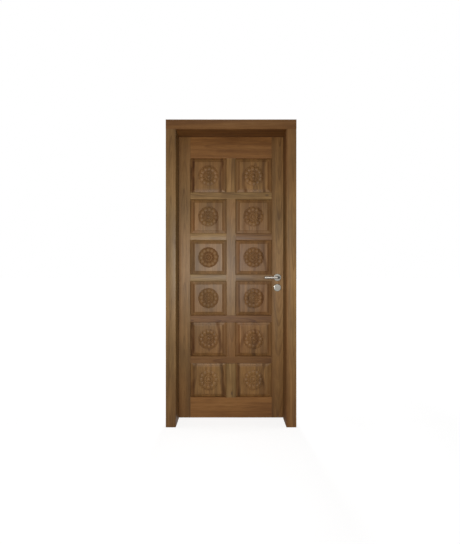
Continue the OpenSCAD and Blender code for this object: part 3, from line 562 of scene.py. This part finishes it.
# Grain direction, then lightness, redness and strength of figure
FRAME_BOARDS = {
    "hinge_jamb": ("Z", (0.87, -0.25, 0.55)),
    "lock_jamb": ("Z", (1.12, -0.15, 0.70)),
    "head": ("X", (0.90, 0.90, 0.42)),
}
LEAF_BOARDS = {
    "hinge_stile": ("Z", (0.83, -0.09, 0.50)),
    "lock_stile": ("Z", (0.95, -0.11, 0.65)),
    "top_rail": ("X", (1.04, 0.90, 0.42)),
    "bottom_rail": ("X", (1.18, 0.41, 0.42)),
    "upper_cross_rail": ("X", (1.07, -0.29, 0.95)),
    "lower_cross_rail": ("X", (0.61, 0.90, 0.80)),
    "base_cross_rail": ("X", (0.65, 0.90, 0.60)),
    "left_upper_short_rail": ("X", (1.17, -0.16, 0.50)),
    "right_upper_short_rail": ("X", (0.73, 0.32, 1.00)),
    "left_lower_short_rail": ("X", (1.00, -0.50, 0.50)),
    "right_lower_short_rail": ("X", (0.65, 0.08, 0.90)),
    "top_muntin": ("Z", (1.09, -0.15, 0.80)),
    "long_muntin": ("Z", (0.87, -0.01, 0.45)),
    "lower_muntin": ("Z", (0.82, 0.24, 0.50)),
    "base_muntin": ("Z", (1.04, -0.50, 0.95)),
}
# Place across and along the board, and radius
KNOTS = {
    "base_muntin": (5.7 * MM, -96 * MM, 7.5 * MM),
    "upper_cross_rail": (4 * MM, 268 * MM, 7 * MM),
}
# Painted shade along the edge next to the reveal: its place across the board, how far in it reaches, and
# its strength
EDGE_SHADES = {
    "lock_jamb": (-35.5 * MM, 30 * MM, 0.60),
    "hinge_stile": (-38 * MM, 24 * MM, 0.55),
    "lock_stile": (-44 * MM, 24 * MM, 0.45),
}


def dress_boards(boards, ease, body):
    """Eases, saws and dresses all the boards of one body."""
    for name, (along, tone) in boards.items():
        piece = eased_copy(name, ease, name + "_wood")
        saw_from_log(piece, along, tone, knot=KNOTS.get(name, NO_KNOT), rim=EDGE_SHADES.get(name, NO_EDGE_SHADE))
        dress(piece, name, body, wood)
        print(piece.name, len(piece.data.polygons), "faces")


dress_boards(FRAME_BOARDS, FRAME_EASE, "frame")
dress_boards(LEAF_BOARDS, LEAF_EASE, "leaf")

# %% [markdown]
# ## Carved panels
# Each panel is a board with a raised field, and a rosette carved in a round sinking: twelve petals,
# a ring of beads, twelve small petals and a boss with a drilled eye. All of it follows from a few
# radii and heights, so a Geometry Nodes tree makes it. The panel is a grid that is wrapped round:
# one direction of the grid runs round the panel, the other from the middle of the front, out over
# the rosette, the field and the margin, round the edge and to the middle of the back. Inside the
# sinking the loops are circles, which lets the petals stay crisp, and outside they are rectangles.
# The carver's chisel isn't exact, so each panel has a seed for its tool marks and a turn of its own.

# %% Panel sizes
LOOPS_IN_ROSETTE = 60
POINTS_PER_PETAL = 30

# Named inputs of the tree, in metres unless they are counts
ROSETTE = {
    "Petals": 12,
    "Sinking radius": 75.6 * MM,
    "Outer petal circle": 55 * MM,
    "Outer petal foot": 17.5 * MM,
    "Outer petal height": 6 * MM,
    "Outer petal start": 41 * MM,
    "Bead circle": 38 * MM,
    "Bead radius": 2.2 * MM,
    "Inner petal circle": 25 * MM,
    "Inner petal foot": 8 * MM,
    "Inner petal height": 4.5 * MM,
    "Boss radius": 14 * MM,
    "Boss height": 5 * MM,
    "Eye radius": 3 * MM,
    "Eye depth": 2 * MM,
    "Vein depth": 0.9 * MM,
    "Vein width": 2.2 * MM,
    "Tool marks": 0.35 * MM,
}

FIELD = (105 * MM, 104 * MM)
FIELD_FACE = -12 * MM
SHOULDER = (106.2 * MM, 105.2 * MM)
SHOULDER_FACE = -10.5 * MM
OPENING = (133 * MM, 126 * MM)
GROOVE_FACE = -4.7 * MM
PANEL_EDGE = (144 * MM, 137 * MM)
SINKING = (76.2 * MM, 76.2 * MM)
FLOOR = -9.5 * MM
# Dark wax with painted shade in the rosette, more the deeper a recess lies, and on the margin, less at
# its top and bottom ends
RELIEF_WAX_SHADE = 4 * MM
HIGH_WAX_SHADE, DEEP_WAX_SHADE = 0.2, 0.6
MARGIN_WAX_SHADE = 0.32
END_WAX_SHADE = 0.35
MITRE = 8.0


def grown(size, by):
    """Half sizes, larger by some millimetres."""
    return (size[0] + by * MM, size[1] + by * MM)


def on_margin(share):
    """Half sizes and depth of a loop on the sloping margin, from the shoulder outwards."""
    size = tuple(near + (far - near) * share for near, far in zip(SHOULDER, OPENING))
    return size, SHOULDER_FACE + (GROOVE_FACE - SHOULDER_FACE) * share


# Loops outside the rosette: half width and height, depth, how round, and the share of dark wax with
# painted shade
FRONT_LOOPS = [
    (SINKING, FIELD_FACE + 0.4 * MM, 1.0, 0.25),
    (grown(SINKING, 0.5), FIELD_FACE, 1.0, 0.10),
    (grown(SINKING, 4), FIELD_FACE, 1.0, 0.0),
    (grown(FIELD, -5), FIELD_FACE, 0.0, 0.0),
    (grown(FIELD, -0.4), FIELD_FACE, 0.0, 0.05),
    (grown(FIELD, 0.2), FIELD_FACE + 0.3 * MM, 0.0, 0.3),
    (grown(SHOULDER, -0.2), SHOULDER_FACE - 0.2 * MM, 0.0, 0.85),
    (*on_margin(0.03), 0.0, 0.90),
    (*on_margin(0.15), 0.0, 0.80),
    (*on_margin(0.32), 0.0, MARGIN_WAX_SHADE),
    (*on_margin(0.85), 0.0, MARGIN_WAX_SHADE),
    (OPENING, GROOVE_FACE, 0.0, 0.45),
    (PANEL_EDGE, GROOVE_FACE, 0.0, 0.9),
]
# The back has the same field and margin, without the round loops
ROUND_LOOPS = 3
SQUARE_LOOPS = FRONT_LOOPS[ROUND_LOOPS:]
BACK_LOOPS = [(size, -depth, 0.0, wax) for size, depth, _, wax in reversed(SQUARE_LOOPS)]
LOOPS = [*FRONT_LOOPS, *BACK_LOOPS, ((0.0, 0.0), -FIELD_FACE, 0.0, 0.0)]
print(len(LOOPS), "loops outside the rosette")

# %% [markdown]
# ### The tree
# The formulas below work in the panel's own frame: X across, Y into the door, Z up, with the origin
# in the middle of the panel's thickness. Turning the angle into the part of a petal that it falls in
# lets one petal's formula serve all twelve.

# %% Rosette formula
CUT_W = 1.2 * MM
EYE_WALL = 0.9 * MM
EYE_CUT, EYE_WAX_SHADE = 0.5, 1.5
CHISEL_W = 7 * MM
CHISEL_DETAIL = 1.0
INNER_VEIN = 0.6
BEADS_PER_PETAL = 3.0
BEAD_DIP = 0.18


def dome(x, y, foot, height):
    """Height of a shallow dome over its foot, at a place given from its centre."""
    ball = (foot * foot + height * height) / (height * 2.0)
    cap = (ball * ball - x * x - y * y).root() - ball + height
    return cap.math("MAXIMUM", 0.0)


def in_eye(size, radius, past):
    """1 in the drilled eye and 0 outside it, with the step this many walls past its radius."""
    return ((size["Eye radius"] - radius) / EYE_WALL + past).between(0.0, 1.0)


def rosette_height(tree, size, radius, angle):
    """Height of the carving over the floor of the sinking."""
    half = size["Petals"].math("POWER", -1.0) * math.pi
    fold = (angle + size["Turn"]).math("WRAP", half, half * -1.0)
    out = radius * fold.math("COSINE")
    side = radius * fold.math("SINE")
    vein = (side.math("ABSOLUTE") / size["Vein width"] * -1.0 + 1.0).math("MAXIMUM", 0.0)

    def petals(ring, vein_share):
        height = size[ring + " petal height"]
        cap = dome(out - size[ring + " petal circle"], side, size[ring + " petal foot"], height)
        return cap - vein * size["Vein depth"] * vein_share * (cap / height)

    outside = ((radius - size["Outer petal start"]) / CUT_W + 0.5).between(0.0, 1.0)
    outer = petals("Outer", 1.0) * outside
    inner = petals("Inner", INNER_VEIN)
    off = radius - size["Bead circle"]
    dips = ((angle + size["Turn"]) * size["Petals"] * BEADS_PER_PETAL).math("COSINE")
    bead = (size["Bead radius"] * size["Bead radius"] - off * off).root()
    bead = bead * (dips * BEAD_DIP + (1 - BEAD_DIP))
    boss = dome(radius, radius * 0.0, size["Boss radius"], size["Boss height"])
    boss = boss - in_eye(size, radius, EYE_CUT) * size["Eye depth"]
    relief = outer.math("MAXIMUM", bead).math("MAXIMUM", inner).math("MAXIMUM", boss)
    x = radius * angle.math("COSINE") / CHISEL_W
    z = radius * angle.math("SINE") / CHISEL_W
    chisel = noise(tree, join(tree, x, size["Seed"], z), CHISEL_DETAIL)
    return relief + chisel * size["Tool marks"]


print("rosette formula ready")

# %% [markdown]
# The tree itself wraps the grid. An Index Switch node picks the numbers of the loop that a point is
# on: inside the rosette they come from the formula, and further out from the list of loops. The dark
# wax with painted shade is stored before the points move, because the formulas read the flat grid.
# The seam and the two poles are merged after that. Wrapping leaves the faces looking inwards, so they
# are flipped, and the tree ends in Realize Instances and Set Material.

# %% Panel tree
def index_switch(tree, index, values):
    """Picks one of several numbers or Terms by an index."""
    node = tree.nodes.new("GeometryNodeIndexSwitch")
    node.data_type = "FLOAT"
    while len(node.index_switch_items) < len(values):
        node.index_switch_items.new()
    plug(tree, index, node.inputs[0])
    for value, socket in zip(values, node.inputs[1:]):
        plug(tree, value, socket)
    return Term(tree, node.outputs[0])


def chain(tree, source, steps, material):
    """Runs a geometry socket through nodes, ending in Realize Instances, Set Material and the output."""
    ends = [tree.nodes.new("GeometryNodeRealizeInstances"), tree.nodes.new("GeometryNodeSetMaterial")]
    tree.links.new(material, ends[1].inputs["Material"])
    for node in [*steps, *ends, tree.nodes.new("NodeGroupOutput")]:
        tree.links.new(source, node.inputs[0])
        source = node.outputs[0] if node.outputs else None


def panel_inputs(tree):
    """Names the tree's inputs. Gives their sockets, and the numbers among them as Terms."""
    numbers = {**ROSETTE, "Wax": 1.0, "Turn": 0.0, "Seed": 0.0}
    face = tree.interface
    face.new_socket("Geometry", in_out="INPUT", socket_type="NodeSocketGeometry")
    face.new_socket("Geometry", in_out="OUTPUT", socket_type="NodeSocketGeometry")
    for name, value in numbers.items():
        face.new_socket(name, in_out="INPUT", socket_type="NodeSocketFloat").default_value = value
    face.new_socket("Centre", in_out="INPUT", socket_type="NodeSocketVector")
    face.new_socket("Wood", in_out="INPUT", socket_type="NodeSocketMaterial")
    given = tree.nodes.new("NodeGroupInput").outputs
    return given, {name: Term(tree, given[name]) for name in numbers}


def panel_tree():
    """Geometry Nodes that make one carved panel."""
    tree = bpy.data.node_groups.new("carved_panel", "GeometryNodeTree")
    given, size = panel_inputs(tree)
    last_loop = LOOPS_IN_ROSETTE + len(LOOPS)
    grid = tree.nodes.new("GeometryNodeMeshGrid")
    grid.inputs["Size X"].default_value = 1.0
    grid.inputs["Size Y"].default_value = 1.0
    grid.inputs["Vertices X"].default_value = POINTS_PER_PETAL * ROSETTE["Petals"] + 1
    grid.inputs["Vertices Y"].default_value = last_loop + 1
    round_way, out_way, _ = split(tree, tree.nodes.new("GeometryNodeInputPosition").outputs[0])

    # Counted in eighths of the way round, the sides of a square turn at whole numbers
    eighth = (round_way + 0.5) * 8.0
    box_x = ((eighth - 5.0).math("ABSOLUTE") - 2.0).between(-1.0, 1.0)
    box_z = ((eighth - 3.0).math("ABSOLUTE") * -1.0 + 2.0).between(-1.0, 1.0)
    angle = (eighth - 1.0) * (math.pi / 4)
    loop = ((out_way + 0.5) * last_loop).math("ROUND")
    past = (loop - LOOPS_IN_ROSETTE).math("MAXIMUM", 0.0)
    radius = size["Sinking radius"] * (loop / LOOPS_IN_ROSETTE).math("MINIMUM", 1.0)

    relief = rosette_height(tree, size, radius, angle)
    # Painted shade with dark wax: darker the deeper the recess and in the drilled eye, less on the
    # margin's ends
    recess_wax_shade = (relief / RELIEF_WAX_SHADE * (HIGH_WAX_SHADE - DEEP_WAX_SHADE) + DEEP_WAX_SHADE).between(HIGH_WAX_SHADE, DEEP_WAX_SHADE)
    recess_wax_shade = recess_wax_shade.math("MAXIMUM", in_eye(size, radius, EYE_WAX_SHADE)) * size["Wax"]
    half_w = index_switch(tree, past, [radius] + [box[0] for box, _, _, _ in LOOPS])
    half_h = index_switch(tree, past, [radius] + [box[1] for box, _, _, _ in LOOPS])
    depth = index_switch(tree, past, [relief * -1.0 + FLOOR] + [y for _, y, _, _ in LOOPS])
    roundness = index_switch(tree, past, [1.0] + [share for _, _, share, _ in LOOPS])
    wax = index_switch(tree, past, [recess_wax_shade] + [share for _, _, _, share in LOOPS])
    on_end = ((box_z.math("ABSOLUTE") - box_x.math("ABSOLUTE")) * MITRE + 0.5).between(0.0, 1.0)
    wax = wax * ((roundness - 1.0) * on_end * (1 - END_WAX_SHADE) + 1.0)

    wax_shade_store = tree.nodes.new("GeometryNodeStoreNamedAttribute")
    wax_shade_store.inputs["Name"].default_value = "wax_and_painted_shade"
    plug(tree, wax, wax_shade_store.inputs["Value"])
    x = half_w * (box_x + (angle.math("COSINE") - box_x) * roundness)
    z = half_h * (box_z + (angle.math("SINE") - box_z) * roundness)
    wrapped = tree.nodes.new("GeometryNodeSetPosition")
    tree.links.new(join(tree, x, depth, z), wrapped.inputs["Position"])
    closed = tree.nodes.new("GeometryNodeMergeByDistance")
    closed.inputs["Distance"].default_value = WELD
    outward = tree.nodes.new("GeometryNodeFlipFaces")
    placed = tree.nodes.new("GeometryNodeTransform")
    tree.links.new(given["Centre"], placed.inputs["Translation"])
    chain(tree, grid.outputs["Mesh"], [wax_shade_store, wrapped, closed, outward, placed], given["Wood"])
    return tree


carved_panel = panel_tree()
print("panel tree:", len(carved_panel.nodes), "nodes")

# %% [markdown]
# ### Twelve panels
# The boards for the panels were picked one by one: some are plain, some have dark streaks, which
# the table gives as places across the panel. Each rosette has its own share of dark wax with painted
# shade. The tree's inputs are set by their identifiers, and the result is made a plain mesh.

# %% Carve the panels
# A place for a streak that is far off the panel
OFF = 900
# Lightness, redness and figure; two dark streaks, in millimetres from the middle, and their strength;
# and the share of dark wax with painted shade in the rosette
PANELS = {
    "panel_1_left": ((0.93, -0.03, 0.7), (92, -108, 1.6), 0.50),
    "panel_1_right": ((1.09, -0.05, 0.8), (-62, 85, 1.3), 0.50),
    "panel_2_left": ((0.88, 0.05, 0.7), (70, OFF, 1.0), 0.90),
    "panel_2_right": ((0.83, 0.12, 0.8), (-57, 41, 1.0), 0.50),
    "panel_3_left": ((0.76, 0.02, 0.5), (OFF, OFF, 0.0), 1.10),
    "panel_3_right": ((0.84, 0.34, 0.7), (84, OFF, 1.0), 0.85),
    "panel_4_left": ((0.76, 0.08, 0.5), (OFF, OFF, 0.0), 0.95),
    "panel_4_right": ((0.79, 0.31, 0.8), (62, OFF, 1.0), 0.70),
    "panel_5_left": ((0.88, 0.07, 0.8), (82, -110, 1.6), 0.55),
    "panel_5_right": ((0.93, 0.15, 1.0), (-80, 17, 1.2), 0.50),
    "panel_6_left": ((1.15, -0.21, 0.8), (104, -112, 1.5), 0.40),
    "panel_6_right": ((1.26, -0.09, 0.8), (75, -108, 1.6), 0.45),
}
TURN = math.radians(7)
SEED_REACH = 50
leaf_front, leaf_back = (corner.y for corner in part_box("hinge_stile"))


def set_input(modifier, tree, name, value):
    """Sets a modifier's input by the identifier of the socket that has this name."""
    socket = next(s for s in tree.interface.items_tree if s.in_out == "INPUT" and s.name == name)
    modifier[socket.identifier] = value


def carve(name, seed, wax):
    """Makes one panel from the tree."""
    low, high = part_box(name)
    centre = Vector(((low.x + high.x) / 2, (leaf_front + leaf_back) / 2, (low.z + high.z) / 2))
    piece = to_object(bmesh.new(), name + "_carved")
    modifier = piece.modifiers.new("carving", "NODES")
    modifier.node_group = carved_panel
    rng = random.Random(seed)
    set_input(modifier, carved_panel, "Centre", centre)
    set_input(modifier, carved_panel, "Wood", wood)
    set_input(modifier, carved_panel, "Wax", wax)
    set_input(modifier, carved_panel, "Turn", rng.uniform(-TURN, TURN))
    set_input(modifier, carved_panel, "Seed", rng.uniform(0, SEED_REACH))
    return made_plain(piece, SHARP)


for seed, (name, (tone, streaks, wax)) in enumerate(PANELS.items()):
    piece = carve(name, seed, wax)
    saw_from_log(piece, "Z", tone, (streaks[0] * MM, streaks[1] * MM, streaks[2]))
    dress(piece, name, "leaf", wood)
    print(piece.name, len(piece.data.polygons), "faces")

# %% [markdown]
# ## Steel
# The levers, roses and hinges are satin steel. The satin is a fine brushing: round the axis on turned
# pieces, along the bar on levers, and up and down on plates. Brushing is drawn as noise that is long
# one way and very short the other, in the roughness and in a shallow bump.

# %% Steel materials
STEEL = (0.255, 0.243, 0.214)
BAR_STEEL = (0.325, 0.298, 0.262)
DARK_STEEL = (0.16, 0.155, 0.15)
PLUG_STEEL = (0.030, 0.031, 0.029)
BRUSH = 0.35 * MM
BRUSH_LONG = 40 * MM
BRUSH_PER_RADIAN = 0.6
BRUSH_DEPTH, BRUSH_SHARE = 0.05 * MM, 0.25
SMEAR = 30 * MM
STEEL_DETAIL = 2.0
# How much brushing and smears change the tint and the roughness
BRUSH_TINT, SMEAR_TINT = 0.22, 0.18
BRUSH_ROUGH, SMEAR_ROUGH = 0.10, 0.06
TINT_LOW, TINT_HIGH = 0.82, 1.18
TINT_FROM, TINT_TO = 0.3, 0.7
STEEL_RANGE = (0.12, 0.8)


def steel(name, colour, roughness, lengths=None, axis=None):
    """Brushed steel. The lengths are the brush marks' size along X, Y and Z, or they go round an axis."""
    material, tree, shader = new_material(name)
    x, y, z = object_place(tree)
    if axis:
        x = x - axis.x
        z = z - axis.z
        ring = (x * x + z * z).root()
        place = join(tree, ring / BRUSH, y / BRUSH, z.math("ARCTAN2", x) * BRUSH_PER_RADIAN)
    else:
        place = join(tree, x / lengths[0], y / lengths[1], z / lengths[2])
    marks = noise(tree, place, STEEL_DETAIL)
    smear = noise(tree, join(tree, x / SMEAR, y / SMEAR, z / SMEAR), STEEL_DETAIL)
    tint = (marks * BRUSH_TINT + smear * SMEAR_TINT + 0.5).between(0.0, 1.0)
    low = tuple(c * TINT_LOW for c in colour)
    high = tuple(c * TINT_HIGH for c in colour)
    tinted = ramp(tree, tint, [(TINT_FROM, low), (TINT_TO, high)])
    tree.links.new(tinted, shader.inputs["Base Color"])
    rough = marks * BRUSH_ROUGH + smear * SMEAR_ROUGH + roughness
    plug(tree, rough.between(*STEEL_RANGE), shader.inputs["Roughness"])
    shader.inputs["Metallic"].default_value = 1.0
    bump(tree, shader, marks, BRUSH_DEPTH, BRUSH_SHARE)
    return material


def middle_of(name):
    """The middle of a node's box."""
    low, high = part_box(name)
    return (low + high) / 2


lever_axis = middle_of("front_lever_rose")
turn_axis = middle_of("front_turn_rose")
along_x = (BRUSH_LONG, BRUSH, BRUSH)
along_z = (BRUSH, BRUSH, BRUSH_LONG)
bar_steel = steel("bar_steel", BAR_STEEL, roughness=0.46, lengths=along_x)
lever_rose_steel = steel("lever_rose_steel", STEEL, roughness=0.24, axis=lever_axis)
turn_rose_steel = steel("turn_rose_steel", STEEL, roughness=0.24, axis=turn_axis)
plug_steel = steel("plug_steel", PLUG_STEEL, roughness=0.45, axis=lever_axis)
plate_steel = steel("plate_steel", STEEL, roughness=0.38, lengths=along_z)
lock_steel = steel("lock_steel", DARK_STEEL, roughness=0.48, lengths=along_z)
print("six steels; the levers turn about", [round(c, 3) for c in lever_axis])

# %% [markdown]
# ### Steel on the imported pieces
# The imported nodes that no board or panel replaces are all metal, and turned or cut as finely as they
# need to be. They keep their meshes and only get a finish. The lock's inner pieces are plain dark steel.

# %% Finish the steel nodes
STEEL_NODES = {
    "front_lever": bar_steel,
    "rear_lever": bar_steel,
    "front_lever_rose": lever_rose_steel,
    "rear_lever_rose": lever_rose_steel,
    "front_turn_rose": turn_rose_steel,
    "rear_turn_rose": turn_rose_steel,
    "coin_release": turn_rose_steel,
    "thumb_turn": plate_steel,
    "strike_plate": lock_steel,
    "faceplate": plate_steel,
    "frame_screws": plate_steel,
    "leaf_screws": plate_steel,
    "rose_bolts": lock_steel,
    "latch_bolt": plate_steel,
    "dead_bolt": plate_steel,
}
shown_nodes = [name for name in nodes if not nodes[name].hide_render]
for name in shown_nodes:
    finish = plate_steel if "hinge" in name else STEEL_NODES.get(name, lock_steel)
    nodes[name].data.materials.clear()
    nodes[name].data.materials.append(finish)
print(len(shown_nodes), "steel nodes finished")

# %% [markdown]
# ### Plugs in the levers
# The screw in the end of each lever's neck is covered by a small dark plug. It is turned, so its
# outline is spun round the lever's axis: a low dome with a rounded rim, seated in the neck's face.

# %% Lever plugs
PLUG_R = 7.8 * MM
PLUG_DOME = 0.5 * MM
PLUG_SEAT = 0.4 * MM
PLUG_STEPS = 64
RIM_POINTS = 9


def lever_plug(name, face_y, out):
    """A plug on the neck's end face, which looks along Y in the given direction."""
    angles = np.linspace(0, math.pi / 2, RIM_POINTS)
    rim = [(PLUG_R * math.sin(a), PLUG_DOME * math.cos(a)) for a in angles]
    outline = [*rim, (PLUG_R, -PLUG_SEAT), (0.0, -PLUG_SEAT)]
    mesh = bmesh.new()
    points = [mesh.verts.new((lever_axis.x + r, face_y + out * h, lever_axis.z)) for r, h in outline]
    edges = [mesh.edges.new(pair) for pair in zip(points, points[1:])]
    centre = (lever_axis.x, face_y, lever_axis.z)
    bmesh.ops.spin(
        mesh, geom=points + edges, cent=centre, axis=(0, 1, 0), angle=math.tau, steps=PLUG_STEPS
    )
    bmesh.ops.remove_doubles(mesh, verts=mesh.verts, dist=WELD)
    bmesh.ops.recalc_face_normals(mesh, faces=mesh.faces)
    piece = to_object(mesh, name)
    piece.data.shade_smooth()
    piece.data.set_sharp_from_angle(angle=SHARP)
    piece.data.materials.append(plug_steel)
    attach(piece, "levers")
    print(name, len(piece.data.polygons), "faces")


lever_plug("front_lever_plug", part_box("front_lever")[0].y, -1)
lever_plug("rear_lever_plug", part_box("rear_lever")[1].y, 1)

# %% [markdown]
# ## Light
# One soft lamp stands behind the camera at the middle of the door's height. Its beam has a limited
# spread, so the wood is brightest in the middle and falls off towards the head and the floor, and the
# reveals stay dark, as in the photograph. Weaker lamps light the back, the outer sides and the top,
# which the front lamp doesn't reach.

# %% Lamps
LAMP_SIZE = 0.55
LAMP_SPREAD = math.radians(118)
# Place, direction of the beam, and power in watts
LAMPS = {
    "front_lamp": ((-0.16, -2.2, 1.13), (0, 1, 0), 19.5),
    "rear_lamp": ((0.0, 2.8, 1.3), (0, -1, 0), 27),
    "left_lamp": ((-2.2, 0.0, 1.2), (1, 0, 0), 6),
    "right_lamp": ((2.2, 0.0, 1.2), (-1, 0, 0), 6),
    "top_lamp": ((0.0, 0.0, 3.1), (0, 0, -1), 2),
}


def soft_lamp(name, place, beam, watts):
    """A square lamp that shines along its beam."""
    data = bpy.data.lights.new(name, "AREA")
    data.shape = "SQUARE"
    data.size = LAMP_SIZE
    data.spread = LAMP_SPREAD
    data.energy = watts
    lamp = bpy.data.objects.new(name, data)
    lamp.location = place
    lamp.rotation_euler = Vector(beam).to_track_quat("-Z", "Y").to_euler()
    bpy.context.scene.collection.objects.link(lamp)


for name, (place, beam, watts) in LAMPS.items():
    soft_lamp(name, place, beam, watts)
print(len(LAMPS), "lamps set")

# %% [markdown]
# ## World and floor
# The world adds a low fill. The ground is white: the world and the floor show themselves as white to
# the camera and in reflections, while the floor still takes the door's shadow. Near the door the floor
# shines a little less of itself, so that the shadow can be seen there.

# %% World and floor
FILL = 0.11
FLOOR_HALF = 40
FLOOR_GREY = 0.40
NEAR_LIFT = 0.78
NEAR_R, FAR_R = 0.9, 2.6


def seen_directly(tree):
    """1 for rays from the camera, and for what metal and glass reflect or let through."""
    path = tree.nodes.new("ShaderNodeLightPath")
    rays = [Term(tree, path.outputs[f"Is {kind} Ray"]) for kind in ("Camera", "Glossy", "Transmission")]
    return rays[0].math("MAXIMUM", rays[1]).math("MAXIMUM", rays[2])


world = bpy.data.worlds.new("studio")
bpy.context.scene.world = world
world.use_nodes = True
sky = world.node_tree
background = sky.nodes["Background"]
background.inputs["Color"].default_value = (1, 1, 1, 1)
plug(sky, seen_directly(sky) * (1 - FILL) + FILL, background.inputs["Strength"])

ground = bpy.data.materials.new("pale_floor")
ground.use_nodes = True
tree = ground.node_tree
tree.nodes.remove(tree.nodes["Principled BSDF"])
matt = tree.nodes.new("ShaderNodeBsdfDiffuse")
matt.inputs["Color"].default_value = (FLOOR_GREY, FLOOR_GREY, FLOOR_GREY, 1)
x, y, _ = object_place(tree)
far = (((x * x + y * y).root() - NEAR_R) / (FAR_R - NEAR_R)).between(0.0, 1.0)
glow = tree.nodes.new("ShaderNodeEmission")
plug(tree, seen_directly(tree) * (far * (1 - NEAR_LIFT) + NEAR_LIFT), glow.inputs["Strength"])
both = tree.nodes.new("ShaderNodeAddShader")
tree.links.new(matt.outputs[0], both.inputs[0])
tree.links.new(glow.outputs[0], both.inputs[1])
tree.links.new(both.outputs[0], tree.nodes["Material Output"].inputs["Surface"])

floor_mesh = bmesh.new()
bmesh.ops.create_grid(floor_mesh, x_segments=1, y_segments=1, size=FLOOR_HALF)
floor = to_object(floor_mesh, "floor")
floor.data.materials.append(ground)
bpy.context.scene.view_settings.view_transform = "Standard"
print("world and floor set")
